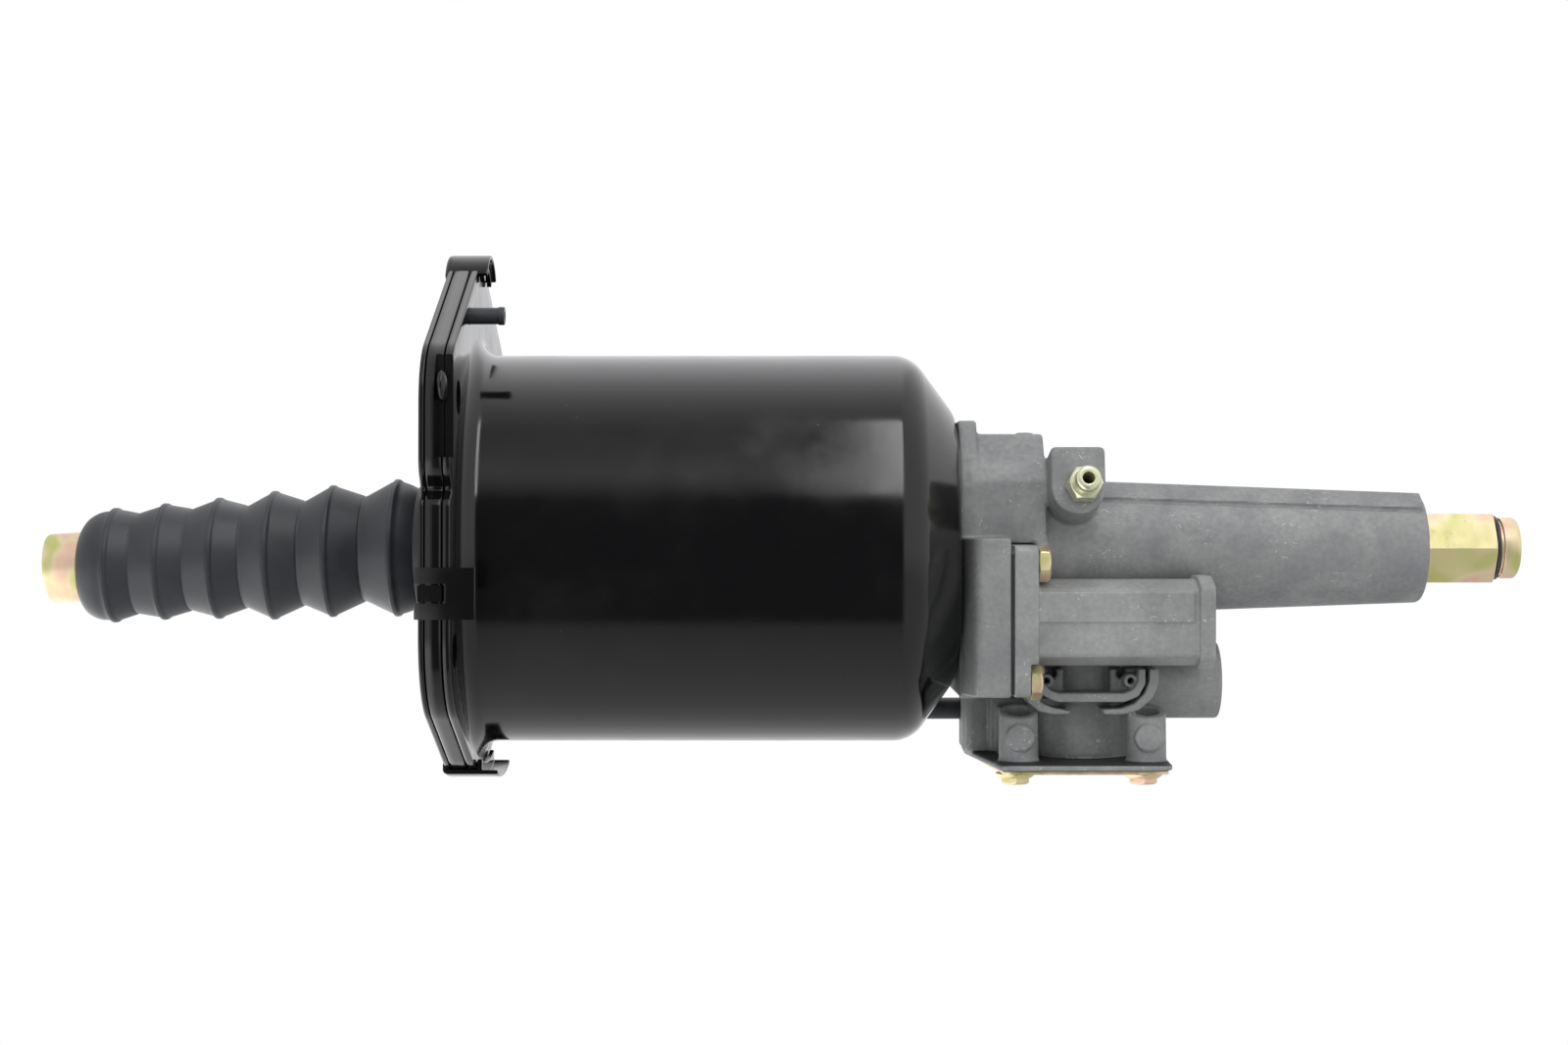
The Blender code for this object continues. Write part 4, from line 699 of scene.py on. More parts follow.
@dataclass(frozen=True)
class Block(Shape):
    """A box with round edges between two opposite corners."""

    first: Point
    second: Point
    rounding: float = 0.8

    def span(self) -> Box:
        """Its lowest and highest corner."""
        return tuple(np.sort(np.array([self.first, self.second], float), axis=0))

    def distance(self, x: Array, y: Array, z: Array) -> Array:
        """The length of how far a point is outside each pair of faces, less the rounding."""
        r = self.rounding
        sides = [np.abs(p - (a + b) / 2) - (abs(b - a) / 2 - r)
                 for p, a, b in zip((x, y, z), self.first, self.second)]
        outside = np.sqrt(sum(np.maximum(s, 0) ** 2 for s in sides))
        inside = np.minimum(np.maximum(np.maximum(sides[0], sides[1]), sides[2]), 0)
        return outside + inside - r


@dataclass(frozen=True)
class Bar(Shape):
    """A round bar or cone from one point to another with round rims."""

    start: Point
    end: Point
    radius: float
    rounding: float = 0.8
    end_radius: float | None = None

    def span(self) -> Box:
        """A box round it."""
        ends = np.array([self.start, self.end], float)
        wide = max(self.radius, self.end_radius or 0.0)
        return ends.min(0) - wide, ends.max(0) + wide

    def distance(self, x: Array, y: Array, z: Array) -> Array:
        """How far a point is outside the radius and the ends, joined by the rim's rounding."""
        start = np.array(self.start, float)
        way = np.array(self.end, float) - start
        length = float(np.linalg.norm(way))
        way /= length
        dx, dy, dz = x - start[0], y - start[1], z - start[2]
        along = dx * way[0] + dy * way[1] + dz * way[2]
        away = np.sqrt(np.maximum(dx * dx + dy * dy + dz * dz - along * along, 0))
        last = self.radius if self.end_radius is None else self.end_radius
        share = np.clip(along / length, 0, 1)
        radius = self.radius + (last - self.radius) * share
        return slab(away - radius, np.abs(along - length / 2) - length / 2, self.rounding)


@dataclass(frozen=True)
class Prism(Shape):
    """An outline with thickness along an axis and round rims."""

    outline: tuple[Pair, ...]
    low: float
    high: float
    axis: Axis
    rounding: float = 0.8
    corner: float = 0.0

    def span(self) -> Box:
        """A box round it."""
        flat = np.array(self.outline, float)
        return (np.insert(flat.min(0), self.axis.value, self.low),
                np.insert(flat.max(0), self.axis.value, self.high))

    def distance(self, x: Array, y: Array, z: Array) -> Array:
        """The plane distance to the outline, signed by crossings, joined with the thickness.

        The distance to each side is the length from the point to its nearest point
        on it; a ray that crosses an odd number of sides starts inside.
        """
        axes = [x, y, z]
        along = axes.pop(self.axis.value)
        u, v = axes
        loop = softened([(*corner, self.corner) for corner in self.outline], True, 4)
        nearest = np.full(np.broadcast(u, v).shape, 1e9, np.float32)
        inside = np.zeros(nearest.shape, bool)
        for (ax, ay), (bx, by) in zip(loop, np.roll(loop, -1, 0)):
            ex, ey = bx - ax, by - ay
            share = np.clip(((u - ax) * ex + (v - ay) * ey) / (ex * ex + ey * ey + 1e-12), 0, 1)
            nearest = np.minimum(nearest, (u - ax - ex * share) ** 2 + (v - ay - ey * share) ** 2)
            if by != ay:
                inside ^= ((ay > v) != (by > v)) & (u < ex * (v - ay) / ey + ax)
        flat = np.where(inside, -1, 1) * np.sqrt(nearest)
        half = (self.high - self.low) / 2
        return slab(flat, np.abs(along - (self.low + self.high) / 2) - half, self.rounding)


@dataclass(frozen=True)
class Common(Shape):
    """What lies inside both of two shapes, with a round edge between them."""

    first: Shape
    second: Shape
    rounding: float = 0.5

    def span(self) -> Box:
        """The box that both boxes share."""
        (low_a, high_a), (low_b, high_b) = self.first.span(), self.second.span()
        return np.maximum(low_a, low_b), np.minimum(high_a, high_b)

    def distance(self, x: Array, y: Array, z: Array) -> Array:
        """Both distances, joined with the rounding."""
        return slab(self.first.distance(x, y, z), self.second.distance(x, y, z), self.rounding)


@dataclass(frozen=True)
class Facet(Shape):
    """The space below a plane through three points, taken as endless."""

    points: tuple[Point, ...]

    def span(self) -> Box:
        """No limit."""
        return np.full(3, -1e3), np.full(3, 1e3)

    def distance(self, x: Array, y: Array, z: Array) -> Array:
        """Height above the plane along its unit normal, the cross product of two sides."""
        a, b, c = (np.array(point, float) for point in self.points)
        normal = np.cross(b - a, c - a)
        normal /= np.linalg.norm(normal) * np.sign(normal[2])
        return (x - a[0]) * normal[0] + (y - a[1]) * normal[1] + (z - a[2]) * normal[2]


def stroked(line: tuple[Point, ...]) -> tuple[Pair, ...]:
    """The outline of a pen's stroke: each point moved half its width to both sides."""
    table = np.array(line)
    way = np.gradient(table[:, :2], axis=0)
    way /= np.linalg.norm(way, axis=1, keepdims=True)
    side = np.stack([-way[:, 1], way[:, 0]], 1) * table[:, 2:] / 2
    return tuple(map(tuple, np.vstack([table[:, :2] + side, (table[:, :2] - side)[::-1]])))


class Casting:
    """A casting as a field of distances on a grid, blended with fillets, then skinned."""

    def __init__(self, low: Point, high: Point, pitch: float) -> None:
        """Lays out an empty grid.

        Args:
            low: lowest corner in millimetres.
            high: highest corner.
            pitch: the grid's spacing.
        """
        self.pitch = pitch
        self.axes = [np.arange(a - 2 * pitch, b + 3 * pitch, pitch, dtype=np.float32)
                     for a, b in zip(low, high)]
        self.field = np.full([len(a) for a in self.axes], 30.0, np.float32)

    def window(self, shape: Shape, margin: float) -> tuple[tuple[slice, ...], list[Array]]:
        """The part of the grid near a shape, as slices and its three axes."""
        low, high = shape.span()
        slices, near = [], []
        for number, axis in enumerate(self.axes):
            first = int(np.searchsorted(axis, low[number] - margin))
            last = int(np.searchsorted(axis, high[number] + margin))
            slices.append(slice(first, last))
            view = [1, 1, 1]
            view[number] = -1
            near.append(axis[first:last].reshape(view))
        return tuple(slices), near

    def add(self, shape: Shape, fillet: float = 1.6) -> None:
        """Joins a shape on: the smooth minimum of both distances leaves a fillet between them."""
        part, near = self.window(shape, fillet + 3 * self.pitch)
        self.field[part] = self.smooth(self.field[part], shape.distance(*near), fillet)

    def cut(self, shape: Shape, fillet: float) -> None:
        """Cuts a shape out: the smooth maximum with its negated distance."""
        part, near = self.window(shape, fillet + 3 * self.pitch)
        self.field[part] = -self.smooth(-self.field[part], shape.distance(*near), fillet)

    @staticmethod
    def smooth(a: Array, b: Array, width: float) -> Array:
        """The smaller of two distances, lowered by a quarter of the width where they are equal."""
        share = np.clip(0.5 + 0.5 * (b - a) / width, 0, 1)
        return (b + (a - b) * share - width * share * (1 - share)).astype(np.float32)

    def skin(self, keep: float) -> Mesh:
        """The surface where the distance is zero, by surface nets.

        Each cell with corners on both sides gets one point, the mean of where its
        edges cross zero, and each grid edge that crosses zero gets a quad of the
        four cells round it.

        Args:
            keep: the share of faces that is left after flat areas are thinned.

        Returns:
            The closed mesh.
        """
        inside = self.field < 0
        count = sum(inside[i:i - 1 or None, j:j - 1 or None, k:k - 1 or None].astype(np.int8)
                    for i in (0, 1) for j in (0, 1) for k in (0, 1))
        mixed = (count > 0) & (count < 8)
        cells = np.argwhere(mixed)
        number = np.full(mixed.shape, -1, np.int32)
        number[mixed] = np.arange(len(cells))
        corners = np.array([(i, j, k) for i in (0, 1) for j in (0, 1) for k in (0, 1)])
        places = cells[:, None] + corners[None]
        values = self.field[places[..., 0], places[..., 1], places[..., 2]]
        total, hits = np.zeros((len(cells), 3)), np.zeros((len(cells), 1))
        for a in range(8):
            for b in range(a + 1, 8):
                if np.abs(corners[a] - corners[b]).sum() != 1:
                    continue
                crossed = (values[:, a] < 0) != (values[:, b] < 0)
                gap = np.where(crossed, values[:, a] - values[:, b], 1.0)
                share = np.where(crossed, values[:, a] / gap, 0.0)[:, None]
                total += crossed[:, None] * (corners[a] + (corners[b] - corners[a]) * share)
                hits += crossed[:, None]
        origin = np.array([axis[0] for axis in self.axes])
        points = (cells + total / hits) * self.pitch + origin
        quads = np.vstack([self.walls(inside, number, axis) for axis in range(3)])
        return self.thinned(mesh_of(points, quads), keep)

    @staticmethod
    def walls(inside: Array, number: Array, axis: int) -> Array:
        """Quads across the grid edges along one axis that cross the surface."""
        u, v = (axis + 1) % 3, (axis + 2) % 3
        first = np.take(inside, range(inside.shape[axis] - 1), axis)
        second = np.take(inside, range(1, inside.shape[axis]), axis)
        at = np.argwhere(first != second)
        at = at[(at[:, u] > 0) & (at[:, v] > 0)
                & (at[:, u] < number.shape[u]) & (at[:, v] < number.shape[v])]
        steps = []
        for du, dv in ((1, 1), (0, 1), (0, 0), (1, 0)):
            cell = at.copy()
            cell[:, u] -= du
            cell[:, v] -= dv
            steps.append(number[cell[:, 0], cell[:, 1], cell[:, 2]])
        quads = np.stack(steps, 1)
        flip = second[at[:, 0], at[:, 1], at[:, 2]]
        quads[flip] = quads[flip][:, ::-1]
        return quads

    @staticmethod
    def thinned(mesh: Mesh, keep: float) -> Mesh:
        """The mesh with its flat areas collapsed to this share of its faces."""
        work = linked("work", mesh)
        work.modifiers.new("Thin", "DECIMATE").ratio = keep
        made = baked(work, [])
        shade(made, 60.0)
        return made


# The servo's pieces


def corner_rows(x: float, radius: Any, edge: float, *degrees: float) -> list[tuple[float, Any]]:
    """Rows on a circle of the edge's radius about a place, at angles from +X."""
    return [(x + edge * math.cos(a), radius + edge * math.sin(a)) for a in np.radians(degrees)]


def face_rows(x: float, start: Any, end: Any, count: int) -> list[tuple[float, Any]]:
    """Rows of a flat face, evenly from one radius to another."""
    return [(x, start + (end - start) * share) for share in np.linspace(0, 1, count)]


@dataclass
class MountingFlange:
    """Front cover, mounting plate and the can's flange: one outline, three sheets."""

    discs: tuple[Point, ...] = (
        (0.0, 0.0, 72.3), (0.0, 80.4, 13.0), (60.0, 44.0, 20.0), (-60.0, 44.0, 20.0),
        (54.0, -26.0, 27.0), (-54.0, -26.0, 27.0))
    holes: tuple[Pair, ...] = ((62.0, 46.0), (-62.0, 46.0), (71.0, -30.0), (-71.0, -30.0))
    hole_radius: float = 5.25
    cover: Pair = (0.0, 1.6)
    plate: Pair = (1.8, 6.85)
    sheet: Pair = (7.1, 9.6)
    waist: Point = (19.5, 5.2, 3.4)
    window: Point = (27.5, 62.0, 74.0)
    window_x: float = 4.6
    columns: int = 720
    turn: Array = field(init=False)
    rim: Array = field(init=False)

    def __post_init__(self) -> None:
        """Works out the outline's radius at each angle, a string drawn round the discs.

        For each direction the disc that reaches farthest gives the point; the
        closed string is then resampled evenly and its radius read off by angle.
        """
        way = circle(3600)
        normal = np.stack([np.cos(way), np.sin(way)])
        discs = np.array(self.discs)
        reach = discs[:, :2] @ normal + discs[:, 2:]
        best = reach.argmax(0)
        string = discs[best, :2] + discs[best, 2:] * normal.T
        gaps = np.linalg.norm(np.roll(string, -1, 0) - string, axis=1)
        length = np.concatenate([[0], np.cumsum(gaps)])
        closed = np.vstack([string, string[:1]])
        even = np.linspace(0, length[-1], 7200, endpoint=False)
        dense = np.stack([np.interp(even, length, closed[:, i]) for i in (0, 1)], 1)
        angle = np.mod(np.arctan2(dense[:, 1], dense[:, 0]), 2 * np.pi)
        order = np.argsort(angle)
        self.turn = circle(self.columns)
        rim = np.interp(self.turn, angle[order], np.hypot(*dense.T)[order], period=2 * np.pi)
        y, z = rim * np.cos(self.turn), rim * np.sin(self.turn)
        waist = self.waist[1] * np.exp(-((z - self.waist[0]) / self.waist[2]) ** 2)
        self.rim = rim - np.where(np.abs(y) > 60, waist, 0)

    def ring(self, rows: list[tuple[float, Any]]) -> Shell:
        """A closed shell from rows of x and radius round the axis."""
        x = np.array([row[0] for row in rows])[:, None]
        radius = np.stack([row[1] + 0 * self.rim for row in rows])
        return wrapped(x, radius, self.turn, True)

    def sheet_shell(self, low: float, high: float, hole: float, edge: float) -> Shell:
        """A flat sheet with a round middle hole and a rounded edge.

        Rows run over the front from hole to rim, round the rim by quarter circles
        of the edge's radius, back over the rear and round the hole.

        Args:
            low: its front face's x.
            high: its rear face's x.
            hole: the middle hole's radius.
            edge: the rounding of its rims.

        Returns:
            Points and quads.
        """
        inner, outer = hole + edge, self.rim - edge
        rows = face_rows(low, inner, outer, 8)
        rows += corner_rows(low + edge, outer, edge, 150, 120, 90)
        rows += corner_rows(high - edge, outer, edge, 90, 60, 30, 0)
        rows += face_rows(high, outer, inner, 8)[1:]
        rows += corner_rows(high - edge, inner, edge, -45, -90)
        rows += corner_rows(low + edge, inner, edge, -90, -135)
        return self.ring(rows)

    def bolt_cutters(self, low: float, high: float) -> list[Mesh]:
        """Round cutters for the four mounting holes."""
        bar = plug(low - 3, high + 3, self.hole_radius, 40)
        return [mesh_of(*moved(bar, y, z)) for y, z in self.holes]

    def window_cutters(self, low: float, high: float) -> list[Mesh]:
        """Cutters for the long recess in both upper lobes, behind the cover's edge."""
        bottom, top, depth = self.window
        return [mesh_of(*box_shell((low, side * depth, bottom), (high, side * 95.0, top)))
                for side in (-1, 1)]

    def build(self, bench: Bench) -> None:
        """Adds the cover and the plate; the can's flange belongs to the can."""
        cover = mesh_of(*self.sheet_shell(*self.cover, 18.35, 0.45))
        # The tongue is bent back over the sheets' edge and shows in the clip's slot.
        tongues = [mesh_of(*box_shell((low, side * near, -15.0), (high, side * far, -10.2)))
                   for side in (-1, 1)
                   for low, high, near, far in ((0.05, 1.45, 76.0, 82.4), (0.2, 7.2, 81.4, 82.5))]
        bench.piece("front_cover_sheet",
                    carved(carved(cover, self.bolt_cutters(*self.cover)), tongues, "UNION"),
                    Slot.BLACK_PAINT, "front_cover")
        plate = mesh_of(*self.sheet_shell(*self.plate, 46.0, 0.7))
        cutters = self.bolt_cutters(*self.plate) + self.window_cutters(self.window_x, 8.0)
        points, quads = turned([(73.0, 0, 0), (73.0, 1.8, 0.3), (78.6, 1.8, 1.6), (80.0, 0.5, 0.4),
                                (80.0, 0, 0)], 32)
        tabs = []
        for side in (-1, 1):
            placed = points @ np.array([[0, side, 0], [1, 0, 0], [0, 0, 2.6]])
            tabs.append(mesh_of(placed + np.array([6.5, 0, 48.7]), quads))
        bench.piece("mounting_plate_sheet", carved(carved(plate, cutters), tabs, "UNION"),
                    Slot.BLACK_PAINT, "mounting_plate")


@dataclass
class CylinderCan:
    """The drawn can with its flange, flare, shoulder and flat end."""

    radius: float = 62.5
    wall: float = 1.6
    end_x: float = 163.0
    flare: float = 6.2
    shoulder: float = 11.6
    cone_deg: float = 54.0
    end_radius: float = 42.8
    end_hole: float = 18.3

    def outer_line(self, inward: float) -> Array:
        """The wall's profile from the flare to the end's hole, set in by a distance.

        A quarter circle of the flare meets the straight wall, a circle of the
        shoulder turns it into the cone, and a short circle turns the cone into
        the flat end.
        """
        cone = math.radians(self.cone_deg)
        drop = self.shoulder * (1 - math.cos(cone))
        run = (self.radius - drop - self.end_radius) / math.tan(cone)
        shoulder_x = self.end_x - run - self.shoulder * math.sin(cone)
        flare_x = 9.4 + self.flare
        sweep = np.radians(np.linspace(180, 270, 10))
        line = [np.stack([flare_x + (self.flare + inward) * np.cos(sweep),
                          self.radius + self.flare + (self.flare + inward) * np.sin(sweep)], 1)]
        ease = np.linspace(0, 1, 14)[1:]
        wall_x = flare_x + (shoulder_x - flare_x) * ease
        line.append(np.stack([wall_x, np.full_like(wall_x, self.radius - inward)], 1))
        turn = np.linspace(0, cone, 16)[1:]
        inner = self.shoulder - inward
        line.append(np.stack([shoulder_x + inner * np.sin(turn),
                              self.radius - self.shoulder + inner * np.cos(turn)], 1))
        corner = 3.0
        tip = np.array([[self.end_x - inward, self.end_radius]])
        along = np.array([[math.sin(math.pi / 2 - cone), -math.cos(math.pi / 2 - cone)]])
        start, end = tip - along * corner, tip + np.array([[0.0, -corner]])
        t = np.linspace(0, 1, 8)[:, None]
        line.append((1 - t) ** 2 * start + 2 * t * (1 - t) * tip + t ** 2 * end)
        line.append(np.array([[self.end_x - inward, self.end_hole]]))
        return np.vstack(line)

    def build(self, bench: Bench, flange: MountingFlange) -> None:
        """Adds the can with its flange as one drawn shell."""
        low, high = flange.sheet
        edge = 0.6
        outer = flange.rim - edge
        inner = self.outer_line(self.wall)
        inner = inner[inner[:, 0] > low]
        rows = [tuple(row) for row in self.outer_line(0.0)[::-1]]
        rows += face_rows(high, self.radius + self.flare, outer, 6)[1:]
        rows += corner_rows(high - edge, outer, edge, 30, 60, 90)
        rows += corner_rows(low + edge, outer, edge, 90, 120, 150, 180)
        rows += face_rows(low, outer, inner[0, 1], 6)[1:] + [tuple(row) for row in inner]
        cutters = flange.bolt_cutters(low, high) + flange.window_cutters(low - 1, high + 1)
        cutters += [mesh_of(*moved(plug(low - 3, high + 14, radius, 32), *place))
                    for place, radius in ((VENT, 2.9), (PIPE, 3.95))]
        bench.piece("cylinder_can", carved(mesh_of(*flange.ring(rows)), cutters),
                    Slot.BLACK_PAINT, "can")


@dataclass
class RubberBellows:
    """The boot over the push rod, drooping with it from the rod's pivot.

    Its root is part of a ball round the pivot, in a socket of the collar, so
    that the boot can swing with the rod.
    """

    crests: tuple[Pair, ...] = (
        (-109.7, 18.7), (-93.5, 19.0), (-76.1, 19.8), (-58.0, 21.0), (-39.0, 21.5), (-18.0, 22.4))
    valleys: tuple[Pair, ...] = (
        (-102.2, 16.2), (-85.0, 16.4), (-67.0, 16.5), (-48.2, 16.9), (-28.4, 17.0))
    mouth_x: float = -119.9
    mouth_corners: tuple[Point, ...] = (
        (5.6, 17.6, 2.0), (2.4, 16.0, 1.8), (0.7, 13.9, 1.4), (0.0, 12.4, 0.4), (0.3, 11.6, 0.2),
        (6.0, 11.6, 0.8))
    wall: float = 1.7
    ball_radii: Pair = (22.2, 20.5)
    ball_degrees: Pair = (51.6, 75.0)
    socket: Point = (22.6, 60.0, 42.0)
    folded: float = 0.357
    sides: int = 160

    def ball(self, radius: float, start: float, end: float) -> list[Point]:
        """An arc round the pivot between two angles from +X, as profile corners."""
        return [(PIVOT_X + radius * math.cos(a), radius * math.sin(a), 0.0)
                for a in np.radians(np.linspace(start, end, 9))]

    def outer(self) -> list[Point]:
        """Profile corners from the root at the flange to the mouth, with each rounding."""
        line = self.ball(self.ball_radii[0], *self.ball_degrees)
        for x, r in sorted(self.crests + self.valleys, reverse=True):
            if (x, r) in self.crests:
                line += [(x + 1.5, r - 0.75, 0.3), (x + 0.7, r - 0.1, 0.3), (x - 0.5, r, 0.3),
                         (x - 0.8, r - 0.65, 0.15), (x - 1.5, r - 0.95, 0.4)]
            else:
                line += [(x + 0.9, r + 0.3, 0.5), (x, r, 0.3), (x - 0.5, r + 0.35, 0.3)]
        line += [(self.mouth_x + dx, r, soft) for dx, r, soft in self.mouth_corners]
        return line

    def inner(self) -> list[Point]:
        """Profile corners back from the mouth's fold to the root."""
        folds = sorted(self.crests + self.valleys)
        line = [(x, r - self.wall - (0.5 if (x, r) in self.crests else 0.0), 1.0)
                for x, r in folds[:-2]]
        line.append((folds[-2][0], folds[-2][1] - 1.2, 0.8))
        start, end = self.ball_degrees
        return line + self.ball(self.ball_radii[1], end + 4, start)

    def build(self, bench: Bench) -> None:
        """Adds the boot, which rides on the rod, and its collar."""
        line = softened(self.outer() + self.inner(), True)
        x, radius = line[:, :1], line[:, 1:]
        turn = circle(self.sides)
        # Small folds of moulded rubber are never quite round: two slow waves of 0.12 mm.
        wave = 0.12 * np.sin(3 * turn + x * 0.11)
        soft = radius + wave * (radius > self.mouth_corners[-1][1] + 1)
        sag = math.tan(DROOP) * np.maximum(PIVOT_X - x, 0)
        boot = bench.solid("rubber_boot", wrapped(x, soft, turn, True, sag), Slot.RUBBER,
                           "bellows", body=Body.ROD)
        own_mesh(boot)
        collar = turned(self.ball(*self.socket) + [
            (-3.4, 15.1, 0.2), (-3.4, 17.4, 0.2), (4.6, 17.4, 0.4), (4.6, 20.5, 0.6),
            (1.8, 20.5, 0.3), (1.8, 18.0, 0.2), (-0.3, 18.0, 0.2), (-0.3, 20.6, 0.5),
            (-10.4, 20.2, 0.3)], self.sides, ring=True)
        bench.solid("boot_collar", collar, Slot.RUBBER)


@dataclass
class PushRod:
    """The turned rod with its ball in the piston and a cup in its free end."""

    tip: float = 109.2
    head_radius: float = 11.3
    head_length: float = 21.0
    shaft_radius: float = 8.0
    ball_radius: float = 10.0
    cup_radius: float = 7.0

    def build(self, bench: Bench) -> None:
        """Adds the rod, turned along its own axis and laid at the droop."""
        profile = [(self.ball_radius * math.cos(a), self.ball_radius * math.sin(a), 0.0)
                   for a in np.radians(np.linspace(0, 126.9, 16))]
        head = self.head_length - self.tip
        profile += [(head, self.shaft_radius, 1.5), (head - 4, self.head_radius, 1.2),
                    (-self.tip, self.head_radius, 1.1), (-self.tip, self.cup_radius, 0.6),
                    (-self.tip + 4.0, self.cup_radius - 0.1, 1.5), (-self.tip + 6.0, 0.0, 0.0)]
        rod = aimed(turned(profile, 120), (PIVOT_X, 0, 0), (math.cos(DROOP), 0.0, math.sin(DROOP)))
        bench.solid("turned_push_rod", rod, Slot.YELLOW_ZINC, "push_rod", body=Body.ROD)


@dataclass
class EdgeClips:
    """Four bent sheet clips that hold the flange's sheets together.

    Each entry of edges is a name, a turn about X in degrees, the edge's distance
    from the middle of the bend, that middle's height above the axis or along Z,
    the half angle of the bend, and how far the clip reaches along X; a flat clip
    has no bend.
    """

    width: float = 15.3
    thick: float = 1.5
    gap: float = 0.3
    grip: float = 6.0
    lip: float = 0.9
    barb_x: float = 9.9
    slot: float = 5.8
    slot_x: float = 8.6
    edges: tuple[tuple[str, float, float, float, float, float], ...] = (
        ("clip_top", 0.0, 13.0, 80.4, 58.0, 12.6), ("clip_bottom", 180.0, 72.3, 0.0, 14.0, 16.5),
        ("clip_near", 90.0, 80.9, -12.6, 0.0, 17.2), ("clip_far", -90.0, 80.9, -12.6, 0.0, 17.2))

    def section(self, edge: float, reach: float) -> Array:
        """The bent section in x and outward distance, with its corners rounded."""
        low, high = edge + self.gap, edge + self.gap + self.thick
        back = self.barb_x + self.thick
        return softened([
            (-self.gap - self.lip, edge - self.grip, 0.3), (-self.gap, edge - self.grip, 0.3),
            (-self.gap, low, 0.4), (self.barb_x, low, 0.3), (self.barb_x, edge - 3.0, 0.4),
            (back, edge - 3.0, 0.4), (back, low + 0.2, 0.4), (reach, low + 0.2, 0.5),
            (reach, high, 0.5), (-self.gap - self.lip, high, 1.8)], True)

    def build(self, bench: Bench) -> None:
        """Adds each clip: its section carried across its width, straight or round a bend.

        At a bend each point keeps its x, and its distance from the middle turns by
        the angle; the last step in from each end is drawn in a little, so that the
        sheet's edges are round.
        """
        for name, spin, edge, middle, half, reach in self.edges:
            line = self.section(edge, reach)
            share = np.concatenate([[-1.0], np.linspace(-0.97, 0.97, 15 if half else 2), [1.0]])
            rise, drop = (middle, 0.0) if half else (0.0, middle)
            grid = np.empty((len(share), len(line), 3))
            for number, step in enumerate(share):
                pull = 0.01 if abs(step) == 1.0 else 0.0
                shape = line + (line.mean(0) - line) * pull
                angle = math.radians(half) * step
                across = 0.0 if half else step * self.width / 2
                grid[number, :, 0] = shape[:, 0]
                grid[number, :, 1] = across + shape[:, 1] * math.sin(angle)
                grid[number, :, 2] = rise + shape[:, 1] * math.cos(angle)
            points, quads = lattice(grid, False)
            caps = (range(len(line)), range((len(share) - 1) * len(line), len(points)))
            made = mesh_of(self.spun(points, spin, drop), quads, caps)
            if not half:
                hole = box_shell((-3.0, -self.slot / 2, edge - 2 * self.grip),
                                 (self.slot_x, self.slot / 2, edge + 5))
                made = carved(made, [mesh_of(self.spun(hole[0], spin, drop), hole[1])])
            bench.piece("bent_" + name, made, Slot.BLACK_PAINT, name)

    @staticmethod
    def spun(points: Array, degrees: float, drop: float) -> Array:
        """Points turned about the X axis and then moved along Z."""
        c, s = math.cos(math.radians(degrees)), math.sin(math.radians(degrees))
        return points @ np.array([[1, 0, 0], [0, c, s], [0, -s, c]]) + np.array([0, 0, drop])


@dataclass
class SmallTubes:
    """The vent nipple on the flange and the breather pipe under the can."""

    vent_radius: float = 2.6
    pipe_radius: float = 3.65

    def build(self, bench: Bench) -> None:
        """Adds both tubes."""
        r = self.vent_radius
        nipple = turned([
            (7.4, 0, 0), (7.4, r, 0.1), (18.6, r, 0.2), (18.8, r + 0.25, 0.2), (20.6, r + 0.25, 0.4),
            (20.6, r * 0.5, 0.3), (13.0, r * 0.5, 0), (13.0, 0, 0)], 48)
        bench.solid("vent_stub", moved(nipple, *VENT), Slot.RUBBER, "vent_nipple")
        tube = turned([(7.4, 2.4, 0.2), (171.7, 2.4, 0.2), (171.7, self.pipe_radius, 0.3),
                       (7.4, self.pipe_radius, 0.3)], 48, ring=True)
        bench.solid("breather_tube", moved(tube, *PIPE), Slot.RUBBER, "breather_pipe")


